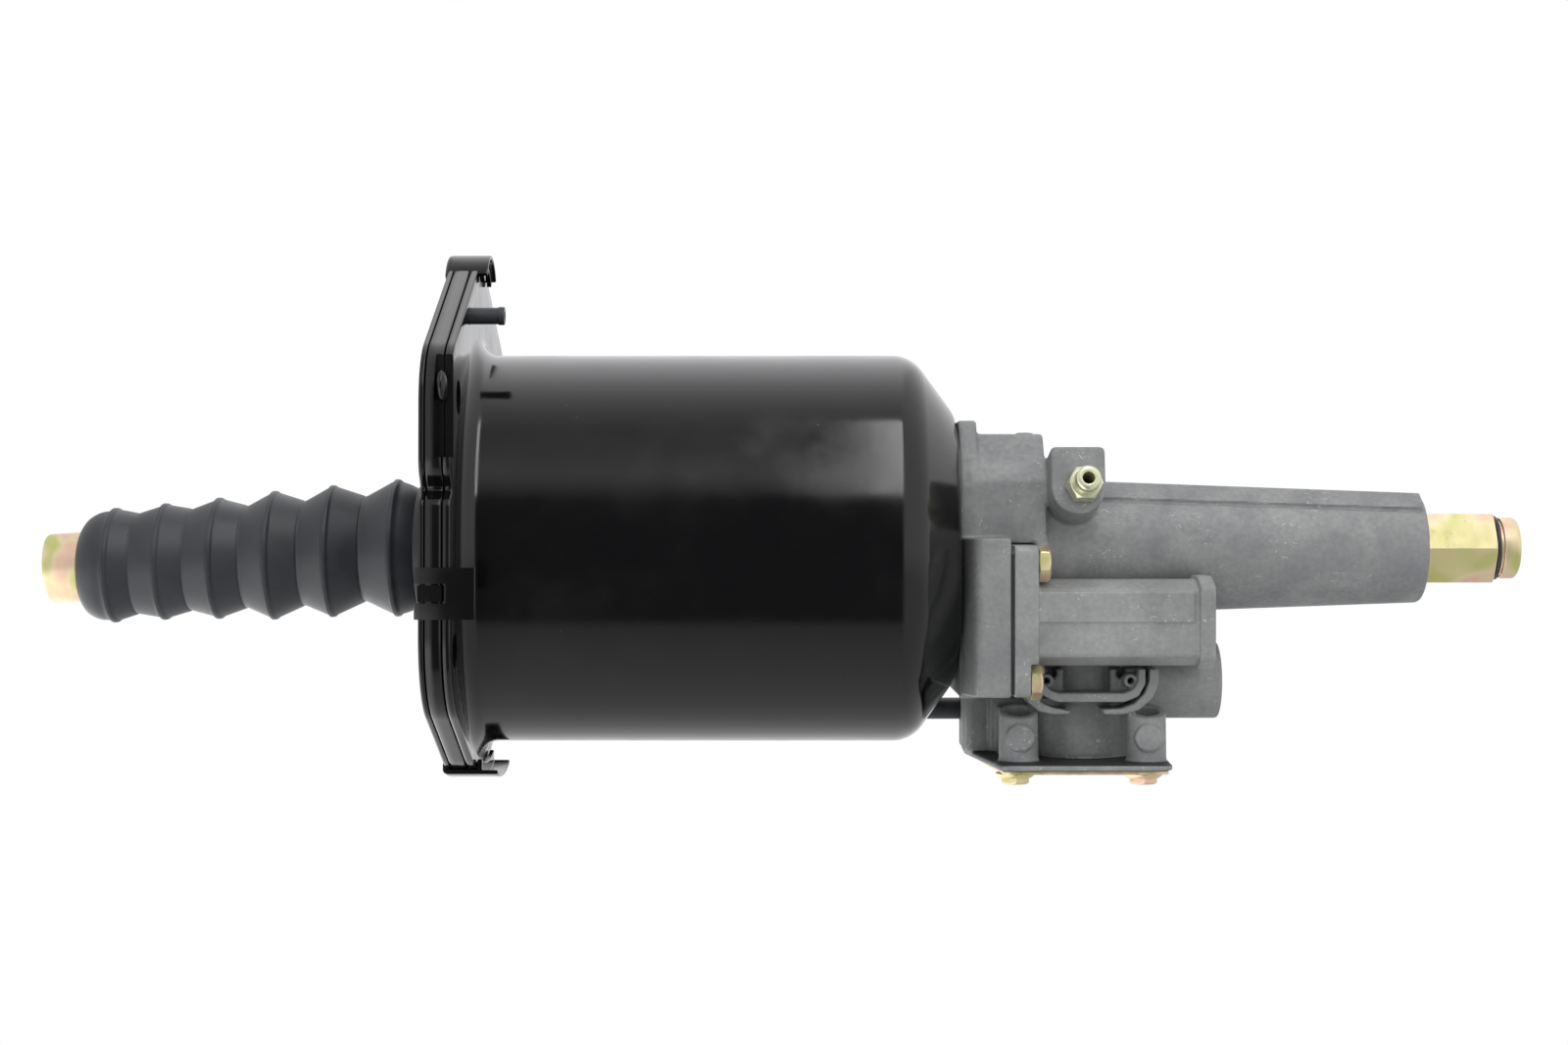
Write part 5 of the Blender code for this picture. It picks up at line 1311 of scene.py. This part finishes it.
@dataclass
class MainCasting:
    """The grey casting: face plate, blocks, hydraulic tube, tower, columns and base."""

    face_x: float = 163.3
    tube_root_x: float = 191.0
    tube_end_x: float = 314.0
    tube_root_r: float = 22.1
    tube_end_r: float = 17.7
    tower_x: float = 204.2
    lower_end: float = 178.1
    base: Pair = (-69.6, -67.6)
    near_shift: float = 1.1
    air_z: float = -42.8
    bleeder: Point = (199.5, 0.0, 11.7)
    pitch: float = 0.6
    seat_ribs: tuple[tuple[Point, ...], ...] = (
        ((208.6, -51.6, 1.7), (214.5, -51.5, 2.0), (219.2, -50.0, 2.6), (222.9, -46.6, 3.0),
         (224.7, -42.2, 3.1), (224.8, -38.0, 3.1)),
        ((198.2, -51.7, 1.0), (193.0, -51.4, 2.2), (189.0, -50.2, 2.9), (186.1, -47.9, 3.0),
         (184.9, -45.2, 3.0)),
        ((220.9, -38.0, 2.2), (220.8, -42.3, 2.6), (218.9, -45.6, 2.9), (215.4, -47.0, 3.0),
         (194.4, -47.0, 3.0), (191.0, -45.7, 2.8), (188.8, -42.8, 2.4)))

    def shapes(self, cast: Casting) -> None:
        """Joins the casting's forms, large ones first, each with its own fillet."""
        face, lower_end = self.face_x, self.lower_end
        cast.add(Prism(((-26, -47.3), (26, -47.3), (26, 20), (14, 41), (-14, 41), (-26, 20)),
                       face, face + 6, Axis.X, 0.9, 2.0))
        cast.add(Prism(((-25, 1.9), (25, 1.9), (25, 22), (13.4, 36.7), (-13.4, 36.7), (-25, 22)),
                       face + 3, 190.6, Axis.X, 0.8, 1.4), fillet=1.6)
        cast.add(Block((176, -25, 1.9), (190.6, -10, 12), 0.35), fillet=0.3)
        cast.add(Prism(((163.9, -30), (167.5, -41.5), (lower_end, -41.5), (lower_end, 22),
                        (163.9, 22)), -46, 3.4, Axis.Z, 0.5, 3.4), fillet=1.0)
        cast.add(Block((173, -41.5, -46), (lower_end, -25, 3.4), 0.5), fillet=0.2)
        cast.add(Bar((165.3, 0, 0), (self.tube_root_x, 0, 0), self.tube_root_r), fillet=2.5)
        cast.add(Bar((self.tube_root_x, 0, 0), (self.tube_end_x, 0, 0), self.tube_root_r, 1.4,
                     self.tube_end_r), fillet=0.6)
        cast.add(self.rib(), fillet=0.3)
        for s in (-1, 1):
            cast.cut(Bar((190.5, 15.1 * s, 16.2), (312.4, 12.8 * s, 12.2), 0.8, 0.2), fillet=0.3)
        cast.add(Bar((158.8, 0, 0), (167, 0, 0), 18.0, 0.6), fillet=0.6)
        cast.add(Block((168.0, 13, -68), (175.5, 30, -42), 1.8), fillet=2.4)
        cast.add(Block((175.5, 11, -68), (self.tower_x, 17, -49), 0.8), fillet=1.5)
        cast.add(Prism(((175.5, -33), (227, -33), (230, -30), (230, 37), (227, 40), (175.5, 40),
                        (168, 29.5)), *self.base, Axis.Z, 0.7, 2.6), fillet=1.6)
        cast.add(Bar((self.tower_x, 0, -67), (self.tower_x, 0, -15), 13.5, 0.8), fillet=1.2)
        cast.add(Block((171.9, -9.5, -47), (228, 16.5, -16), 1.0), fillet=1.6)
        cast.add(Block((214, -6, -68), (229.4, 13.3, -30), 1.0), fillet=1.2)
        cast.add(Bar((220, 0, self.air_z), (248.5, 0, self.air_z), 12.5, 0.9), fillet=2.2)
        cast.add(Block((167.6, 19, -68), (lower_end, 43.4, -49.7), 1.2), fillet=1.5)
        cast.add(Bar((186.5, 6, 30), (186.5, 6, 37.7), 3.2, 1.0), fillet=1.0)
        cast.add(Bar((187.0, -22, -2), (191.4, -22, -2), 6.2, 0.9), fillet=1.2)
        self.column_forms(cast)
        self.valve_seat_forms(cast)
        self.bleeder_forms(cast)

    def rib(self) -> Shape:
        """The flat top of the tube, a wedge that narrows and falls with the taper."""
        plan = Prism(((189, -15.3), (313.2, -13.0), (313.2, 13.0), (189, 15.3)), 0, 30, Axis.Z, 0.1)
        side = Prism(((189, 5), (313.2, 5), (313.2, 17.8), (189, 22.3)), -16, 16, Axis.Y, 0.1)
        wedge: Shape = Common(plan, side, 0.3)
        for s in (-1, 1):
            wedge = Common(wedge, Facet(((189, 15.3 * s, 16.9), (313.2, 13.0 * s, 13.0),
                                         (189, 7.5 * s, 22.6))), 0.3)
        return wedge

    def column_forms(self, cast: Casting) -> None:
        """Four bolt columns; the near two have slanting tops with pockets, and round pads."""
        slant = math.radians(18.6)
        for bolt_x, y in BASE_BOLTS:
            x = bolt_x + (self.near_shift if y < 0 else 0.0)
            cast.add(Bar((x, y, -68.5), (x, y, -48.0), 6.3, 0.5, 6.05), fillet=1.7)
            if y < 0:
                cast.cut(Prism(((-33, -55.0), (-14, -48.6), (-14, -46.7), (-33, -46.7)),
                               x - 8, x + 8, Axis.X, 0.1), fillet=0.4)
                cast.add(Bar((x, y, -59.5), (x, y - 7.0, -59.5), 4.45, 0.3), fillet=0.3)
                lift = np.array([x, y, -51.2])
                down = np.array([0.0, math.sin(slant), -math.cos(slant)])
                cast.cut(Bar(tuple(lift - down * 3), tuple(lift + down * 5), 3.9, 0.1),
                         fillet=0.4)
            else:
                cast.cut(Bar((x, y, -57), (x, y, -45), 3.4, 0.3), fillet=0.5)
            if x > self.tower_x:
                cast.add(Block((self.tower_x - 3, min(y + 14, 1.2), -68),
                               (x + 3.1, max(y - 1.2, -1.2), -52), 0.9), fillet=1.2)
            elif y > 0:
                cast.add(Block((x - 3, 1.2, -68), (x + 3.1, y - 1.2, -52), 0.9), fillet=1.2)

    def valve_seat_forms(self, cast: Casting) -> None:
        """The looped rib under the valve housing, its inner rib and its two screw bosses."""
        for line in self.seat_ribs:
            cast.add(Prism(stroked(line), -25.0, -11.0, Axis.Y, 0.4), fillet=0.5)
        for side, x in ((-1, 190.9), (1, 217.7)):
            cast.add(Block((x - side * 6.0, -17, -48), (x + side * 3.8, -8, -38.3), 0.6), fillet=0.8)
            cast.cut(Bar((x - side * 2.2, -24, -39.9), (x - side * 2.2, -9, -39.9), 1.7, 0.3),
                     fillet=0.3)
            cast.add(Bar((x, -22.5, -41.9), (x, -10, -41.9), 2.35, 0.35), fillet=0.4)
            cast.cut(Bar((x, -26, -41.9), (x, -12, -41.9), 1.05, 0.1), fillet=0.2)

    def bleeder_forms(self, cast: Casting) -> None:
        """The boss of the bleeder screw, tilted up, with its bore."""
        screw = BleederScrew()
        tilt = math.radians(screw.tilt_deg)
        up = (0.0, math.sin(tilt), math.cos(tilt))
        cast.add(TiltedBoss(self.bleeder, (0.0, -math.cos(tilt), math.sin(tilt)), up),
                 fillet=1.8)
        cast.cut(Bar(screw.at(22), screw.at(40), 4.3, 0.1), fillet=0.3)

    def openings(self, cast: Casting) -> None:
        """Cuts the bores that can be seen or that other pieces pass through."""
        cast.cut(Bar((self.tower_x, 0, -72), (self.tower_x, 0, -38), 9.5, 0.3), fillet=0.5)
        cast.cut(Bar((234.5, 0, self.air_z), (252, 0, self.air_z), 8.0, 0.3), fillet=0.8)
        for start, end, y, z, radius, fillet in (
                (299, 318, 0, 0, 13.3, 0.4), (210, 236, 0, self.air_z, 3.0, 0.4),
                (156, 171.3, 0, 0, 16.0, 0.3), (160, 172, *PIPE, 3.95, 0.3),
                (170.9, 181, -27, -23, 5.3, 0.3)):
            cast.cut(Bar((start, y, z), (end, y, z), radius, 0.1), fillet=fillet)
        for x, y in BASE_BOLTS:
            cast.cut(Bar((x, y, -73), (x, y, -60), 3.3, 0.1), fillet=0.3)
        for y, z in VALVE_BOLTS:
            cast.cut(Bar((169.9, y, z), (181, y, z), 3.3, 0.1), fillet=0.3)

    def build(self, bench: Bench) -> None:
        """Adds the casting."""
        cast = Casting((157, -43.5, -70), (315, 44.5, 42.5), self.pitch)
        self.shapes(cast)
        self.openings(cast)
        bench.piece("grey_casting", cast.skin(0.33), Slot.CAST_GREY, "main_housing")


@dataclass(frozen=True)
class TiltedBoss(Shape):
    """The bleeder's boss: an outline with a round foot and a flat top, drawn out along a tilt."""

    origin: Point
    way: Point
    up: Point
    half: float = 8.5
    top: float = 13.0
    length: Pair = (8.0, 37.0)
    rounding: float = 1.6

    def span(self) -> Box:
        """A box round it."""
        origin, way = np.array(self.origin), np.array(self.way)
        ends = np.stack([origin + way * self.length[0], origin + way * self.length[1]])
        return ends.min(0) - 14.0, ends.max(0) + 14.0

    def distance(self, x: Array, y: Array, z: Array) -> Array:
        """A half disc below and a rounded box above, taken together, within its length."""
        dx, dy, dz = x - self.origin[0], y - self.origin[1], z - self.origin[2]
        along = dx * self.way[0] + dy * self.way[1] + dz * self.way[2]
        rise = dx * self.up[0] + dy * self.up[1] + dz * self.up[2]
        disc = np.sqrt(dx * dx + rise * rise) - self.half
        box = slab(np.abs(dx) - self.half, np.abs(rise - self.top / 2) - self.top / 2, self.rounding)
        middle = (self.length[0] + self.length[1]) / 2
        reach = np.abs(along - middle) - (self.length[1] - self.length[0]) / 2
        return slab(np.minimum(disc, box), reach, 0.7)


@dataclass
class ValveHousing:
    """The relay valve's housing, a second casting on the lower block."""

    y: float = -27.0
    z: float = -23.0
    half: float = 13.5
    plate: Pair = (179.1, 186.6)
    end_x: float = 241.5
    collar_x: float = 236.6
    pitch: float = 0.42

    def section(self, rise: float) -> tuple[Pair, ...]:
        """The body's eight-sided section, grown by a rise."""
        half = self.half + rise
        near, far, back = -half, half, 8.0
        return tuple((self.y + y, self.z + z) for y, z in (
            (near, 3.2 - half), (near + 8.0, -half), (far - back, -half), (far, back - half),
            (far, half - back), (far - back, half), (near + 8.0, half), (near, half - 3.2)))

    def build(self, bench: Bench) -> None:
        """Adds the housing."""
        cast = Casting((178, -43.8, -47.2), (243, -10, 2.6), self.pitch)
        cast.add(Prism(((-42.5, -46), (-11, -46), (-11, 1.3), (-42.5, 1.3)), *self.plate, Axis.X,
                       0.5, 3.0))
        cast.cut(Block((184.2, -46, -48), (188.6, -30, -35.7), 0.2), fillet=0.6)
        cast.add(Prism(self.section(0.0), self.plate[0] + 2, self.end_x - 1, Axis.X, 0.6, 1.2),
                 fillet=1.4)
        cast.add(Prism(self.section(1.2), self.collar_x, self.end_x, Axis.X, 0.7, 1.4), fillet=0.7)
        front = self.y - self.half
        cast.add(Block((186.0, front - 0.8, self.z + 0.2), (235.0, front + 2, self.z + 9.9), 0.3),
                 fillet=0.15)
        cast.cut(Bar((170, 0, 0), (250, 0, 0), 22.4, 0.1), fillet=0.6)
        for start, end, radius, fillet in ((177, 197, 9.0, 0.3), (196, 201, 5.5, 0.3),
                                           (200, 245, 9.4, 0.3), (239.1, 240.7, 10.6, 0.2)):
            cast.cut(Bar((start, self.y, self.z), (end, self.y, self.z), radius, 0.1), fillet=fillet)
        for y, z in VALVE_BOLTS:
            cast.cut(Bar((177, y, z), (190, y, z), 3.3, 0.1), fillet=0.3)
        bench.piece("valve_casting", cast.skin(0.45), Slot.VALVE_GREY, "valve_housing")


@dataclass
class Fasteners:
    """Hexagon bolts, all M6 with chamfered heads."""

    flats: float = 10.0
    flanged_flats: float = 8.3
    washer_radius: float = 6.2
    head: float = 3.6
    shank_radius: float = 3.0

    def bolt(self, shank: float, roll: float, flats: float, washer: float) -> Shell:
        """A bolt along +X: the head's underside at 0 and the head towards -X.

        Args:
            shank: its length below the head.
            roll: the turn of its flats in degrees.
            flats: its width across flats.
            washer: the radius of the washer that is part of the head, or 0.

        Returns:
            Points and quads.
        """
        corner, rim = flats / math.sqrt(3) + 0.3, flats / 2 + 0.15
        start = -1.2 if washer else 0.0
        head = hexagonal(flats, [
            (start, 0.0, 0), (start, rim, 0.1), (start - 0.35, corner, 0.2),
            (-self.head + 0.9, corner, 0.2), (-self.head, rim - 0.55, 0.2), (-self.head, 3.2, 0.2),
            (-self.head + 0.35, 2.7, 0.2), (-self.head + 0.35, 0.0, 0)], roll)
        stem = turned([
            (-1.4, 0, 0), (-1.4, self.shank_radius, 0.1), (shank - 0.8, self.shank_radius, 0.2),
            (shank, self.shank_radius - 0.7, 0.2), (shank, 0, 0)], 32)
        if not washer:
            return joined(head, stem)
        ring = turned([
            (-1.7, 0, 0), (-1.7, corner - 0.2, 0.3), (-0.7, washer, 0.4), (0.0, washer, 0.2),
            (0.0, 0, 0)], 64)
        return joined(head, ring, stem)

    def build(self, bench: Bench) -> None:
        """Adds the base's four bolts and the valve housing's three."""
        shell = self.bolt(11.7, 0.0, self.flanged_flats, self.washer_radius)
        for number, (x, y) in enumerate(sorted(BASE_BOLTS), 1):
            spin = (0, 1, 0) if number % 2 else (math.sin(0.5), math.cos(0.5), 0)
            bench.solid(f"base_hex_bolt_{number}", aimed(shell, (x, y, -70.9), (0, 0, 1), spin),
                        Slot.YELLOW_ZINC, f"base_bolt_{number}")
        for number, (y, z) in enumerate(VALVE_BOLTS, 1):
            # The second bolt's head is let into the plate.
            x, roll = (184.4, 0.0) if number == 2 else (186.9, 12.0)
            shell = self.bolt(x - 171.8, roll, self.flats, 0.0)
            bench.solid(f"valve_hex_bolt_{number}", aimed(shell, (x, y, z), (-1, 0, 0)),
                        Slot.YELLOW_ZINC, f"valve_bolt_{number}")


@dataclass
class BaseSheet:
    """The yellow sheet under the base flange."""

    top: float = -69.8
    thick: float = 0.9

    def build(self, bench: Bench) -> None:
        """Adds the sheet, a rounded outline with its five holes."""
        plan = softened([(x, y, 2.4) for x, y in (
            (176.6, -32.2), (226.6, -32.2), (228.8, -30.0), (228.8, 37.0), (227.0, 39.0),
            (175.8, 39.0), (171.4, 29.5))], True)
        middle = np.array([197.5, 3.5])
        levels = ((self.top, 0.0), (self.top, 0.999), (self.top - 0.15, 1.0),
                  (self.top - self.thick + 0.15, 1.0), (self.top - self.thick, 0.999),
                  (self.top - self.thick, 0.0))
        grid = np.empty((len(levels), len(plan), 3))
        for number, (z, share) in enumerate(levels):
            grid[number, :, :2] = middle + (plan - middle) * share
            grid[number, :, 2] = z
        cutters = []
        for x, y, radius in (*((x, y, 3.3) for x, y in BASE_BOLTS), (204.2, 0, 4.0)):
            placed = aimed(plug(-3, 3, radius, 36), (x, y, self.top - 0.7), (0, 0, 1), (0, 1, 0))
            cutters.append(mesh_of(*placed))
        bench.piece("yellow_base_sheet", carved(mesh_of(*lattice(grid, False)), cutters),
                    Slot.YELLOW_ZINC, "base_plate")


@dataclass
class BleederScrew:
    """The bleeder screw: a hexagon with a nipple, bored through."""

    face: float = 37.0
    flats: float = 10.0
    tilt_deg: float = 12.0
    origin: Point = (199.7, 0.0, 11.7)
    lean: float = 0.03

    def way(self) -> Point:
        """The screw's direction: up by the tilt and a little to the right."""
        tilt = math.radians(self.tilt_deg)
        return self.lean, -math.cos(tilt), math.sin(tilt)

    def at(self, distance: float) -> Point:
        """The point on the screw's axis at a distance from the tube's axis."""
        return tuple(o + w * distance for o, w in zip(self.origin, self.way()))

    def build(self, bench: Bench) -> None:
        """Adds the screw along the boss's tilted axis."""
        corner = self.flats / math.sqrt(3) + 0.3
        hexagon = hexagonal(self.flats, [
            (0.3, 0, 0), (0.3, 5.0, 0.2), (0.7, corner, 0.3), (5.4, corner, 0.3), (7.0, 4.7, 0.4),
            (7.0, 2.5, 0), (7.0, 0, 0)], 30.0)
        nipple = turned([
            (-14, 1.9, 0.2), (-14, 2.6, 0.3), (-12, 4.0, 0.3), (2.0, 4.0, 0.3), (6.6, 3.9, 0.3),
            (7.6, 3.15, 0.5), (9.4, 3.1, 0.6), (10.2, 4.05, 0.7), (12.4, 4.0, 0.7),
            (13.0, 3.2, 0.4), (13.0, 1.9, 0.3)], 64, ring=True)
        shells = (hexagon, nipple, plug(-20, 20, 1.95, 40))
        body, stem, bore = (mesh_of(*aimed(shell, self.at(self.face), self.way()))
                            for shell in shells)
        bench.piece("bleeder_nipple_screw", carved(carved(body, [bore]), [stem], "UNION"),
                    Slot.PALE_ZINC, "bleeder_screw")


@dataclass
class InletFitting:
    """The hexagon fitting at the tube's end, its round tip and the wire ring in its groove."""

    start_x: float = 314.3
    hex_end: float = 337.0
    tip_x: float = 345.5
    flats: float = 22.2
    tip_radius: float = 9.9
    groove_radius: float = 8.9

    def build(self, bench: Bench) -> None:
        """Adds the fitting and the ring."""
        corner, end, tip = self.flats / math.sqrt(3), self.hex_end, self.tip_x
        body = hexagonal(self.flats, [
            (self.start_x, 0, 0), (self.start_x, corner + 1, 0.2), (end - 0.9, corner + 1, 0.3),
            (end, corner - 0.7, 0.4), (end, 8.0, 0), (end, 0, 0)], 30.0)
        stem = turned([
            (299.5, 4.5, 0.3), (299.5, 10.7, 0.3), (318.0, 10.7, 0.2), (318.0, 9.5, 0),
            (333, 8.9, 0), (end + 3.0, self.groove_radius, 0.2), (end + 3.0, self.tip_radius, 0.3),
            (tip - 0.8, self.tip_radius, 0.6), (tip, self.tip_radius - 1.0, 0.4), (tip, 4.5, 0.5)],
            120, ring=True)
        drilled = carved(mesh_of(*body), [mesh_of(*plug(290, 360, 4.6, 48))])
        bench.piece("fluid_inlet_fitting", carved(drilled, [mesh_of(*stem)], "UNION"),
                    Slot.YELLOW_ZINC, "inlet_fitting")
        self.ring(bench)

    def ring(self, bench: Bench) -> None:
        """Adds the wire ring: a circle of wire carried round the groove, open by 24 degrees."""
        count, wire = 120, 0.72
        around = np.radians(np.linspace(-78, 258, count))[:, None]
        size = np.full((count, 1), wire)
        size[[0, -1]] = 0.0
        section = circle(16)
        x = self.hex_end + 1.5 + 0.35 * np.cos(around) + size * np.sin(section)
        radius = self.groove_radius + 0.95 + size * np.cos(section)
        bench.solid("wire_snap_ring", wrapped(x, radius, around), Slot.SPRING_STEEL, "snap_ring")


# The studio


@dataclass
class Studio:
    """White surroundings, one large soft lamp and the camera of the photograph."""

    camera: Point = (0.1077, -0.830, 0.0083)
    lens: float = 58.5
    lamp: Point = (0.335, -0.86, 1.24)
    lamp_size: Pair = (0.30, 1.36)
    lamp_power: float = 6.2
    key: Point = (0.3, -0.9, 1.2)
    key_power: float = 2.6
    card_left: Pair = (1.9, 0.85)
    card_right: Pair = (0.62, 1.02)
    dome: tuple[Pair, ...] = ((0.0, 0.55), (0.3, 0.72), (0.5, 0.86), (0.75, 1.02), (1.0, 1.15))
    dome_back: float = 0.76
    dome_front: float = 1.20
    glow: tuple[Pair, ...] = (
        (-180, 1.0), (-158, 0.95), (-134, 0.78), (-112, 0.68), (-84, 0.66), (-58, 0.55),
        (-46, 0.42), (-41, 0.09), (0, 0.07), (29, 0.09), (35, 0.42), (44, 0.80), (58, 0.62),
        (72, 0.50), (88, 0.80), (106, 1.25), (124, 1.60), (146, 1.45), (180, 1.0))

    def surroundings(self) -> None:
        """The world: white to the camera, cards to reflections, an even dome to the rest.

        For reflections, the angle about the servo's axis, measured up from the
        camera's side, runs along a ramp: dim where the studio is open, bright above
        and behind, with white cards far left and right. The dome's brightness
        grows with height.
        """
        world = bpy.data.worlds.new("studio")
        bpy.context.scene.world = world
        world.use_nodes = True
        world.node_tree.nodes.clear()
        sky = Wiring(world.node_tree)
        way = sky.node("TexCoord").outputs["Generated"]
        right, rise = sky.part(way, "X"), sky.part(way, "Z")
        front = sky.maths("MULTIPLY", sky.part(way, "Y"), -1.0)
        share = sky.spread(sky.maths("ARCTAN2", rise, front), 0.0, 1.0, -math.pi, math.pi)
        # The ramp holds half of each value, because its colours stop at 1.
        stops = [((a + 180) / 360, (g / 2, g / 2, g / 2 * 1.02, 1.0)) for a, g in self.glow]
        colour = sky.ramp(share, stops)
        for start, end, card in ((0.15, 0.30, self.card_right), (-0.15, -0.26, self.card_left)):
            level = sky.spread(rise, card[0] / 2, card[1] / 2, -0.28, 0.0)
            colour = sky.mix(sky.spread(right, 0.0, 1.0, start, end), colour, level)
        dome = sky.ramp(sky.spread(rise, 0.0, 1.0, -1.0, 1.0),
                        [(p, (g / 2, g / 2, g / 2, 1.0)) for p, g in self.dome])
        near = sky.spread(front, self.dome_back, self.dome_front, -1.0, 1.0)
        lit = sky.node("VectorMath", {0: dome, "Scale": near}, operation="SCALE").outputs["Vector"]
        path = sky.node("LightPath").outputs
        chosen = sky.mix(path["Is Glossy Ray"], lit, colour)
        glow = sky.node("Background", {"Color": chosen, "Strength": 2.0})
        white = sky.node("Background", {"Color": (1, 1, 1, 1), "Strength": 1.0})
        seen = sky.maths("MAXIMUM", path["Is Camera Ray"], path["Is Transmission Ray"])
        both = sky.node("MixShader", {0: seen, 1: glow.outputs[0], 2: white.outputs[0]})
        sky.node("OutputWorld", {"Surface": both.outputs[0]})

    def floor(self) -> None:
        """A pale floor that the camera sees as plain white; from below it is clear."""
        obj = linked("studio_floor", mesh_of(*box_shell((-4000, -4000, -262), (4000, 4000, -260))))
        material = bpy.data.materials.new("pale_floor")
        material.use_nodes = True
        material.node_tree.nodes.clear()
        floor = Wiring(material.node_tree)
        white = floor.node("Emission", {"Color": (1, 1, 1, 1), "Strength": 1.0})
        clear = floor.node("BsdfTransparent")
        facing = floor.part(floor.node("NewGeometry").outputs["True Normal"], "Z")
        under = floor.maths("LESS_THAN", facing, 0.5)
        unseen = floor.maths("SUBTRACT", 1.0, floor.node("LightPath").outputs["Is Camera Ray"])
        both = floor.node("MixShader", {0: floor.maths("MAXIMUM", under, unseen),
                                        1: white.outputs[0], 2: clear.outputs[0]})
        floor.node("OutputMaterial", {"Surface": both.outputs[0]})
        obj.data.materials.append(material)

    def lamps(self) -> None:
        """Soft boxes above the camera: one for reflections, one for light and shade."""
        for name, power, place, lights, shines in (
                ("soft_box_reflection", self.lamp_power, self.lamp, False, True),
                ("soft_box_light", self.key_power, self.key, True, False)):
            data = bpy.data.lights.new(name, "AREA")
            data.shape = "RECTANGLE"
            data.size, data.size_y = self.lamp_size
            data.energy = power
            obj = linked(name, data)
            obj.location = place
            obj.visible_diffuse, obj.visible_glossy = lights, shines
            aim = Vector((place[0], 0.0, 0.0)) - obj.location
            obj.rotation_euler = aim.to_track_quat("-Z", "Y").to_euler()

    def eye(self) -> None:
        """The camera, level, looking along +Y."""
        data = bpy.data.cameras.new("camera")
        data.lens, data.sensor_width = self.lens, 36.0
        obj = linked("camera", data)
        obj.location = self.camera
        obj.rotation_euler = (math.radians(90), 0, 0)
        bpy.context.scene.camera = obj

    def build(self) -> None:
        """Sets up the whole studio."""
        bpy.context.scene.view_settings.view_transform = "Standard"
        self.surroundings()
        self.floor()
        self.lamps()
        self.eye()


def main() -> None:
    """Builds the studio and each sub-assembly in order."""
    logging.basicConfig(level=logging.INFO, format="%(message)s")
    Studio().build()
    finishes = Finishes()
    finishes.dress_nodes()
    bench = Bench(finishes)
    flange = MountingFlange()
    flange.build(bench)
    CylinderCan().build(bench, flange)
    for assembly in (RubberBellows(), PushRod(), EdgeClips(), SmallTubes(), MainCasting(),
                     ValveHousing(), Fasteners(), BaseSheet(), BleederScrew(), InletFitting()):
        assembly.build(bench)
    LOG.info("%d pieces", bench.count)


if __name__ == "__main__":
    main()
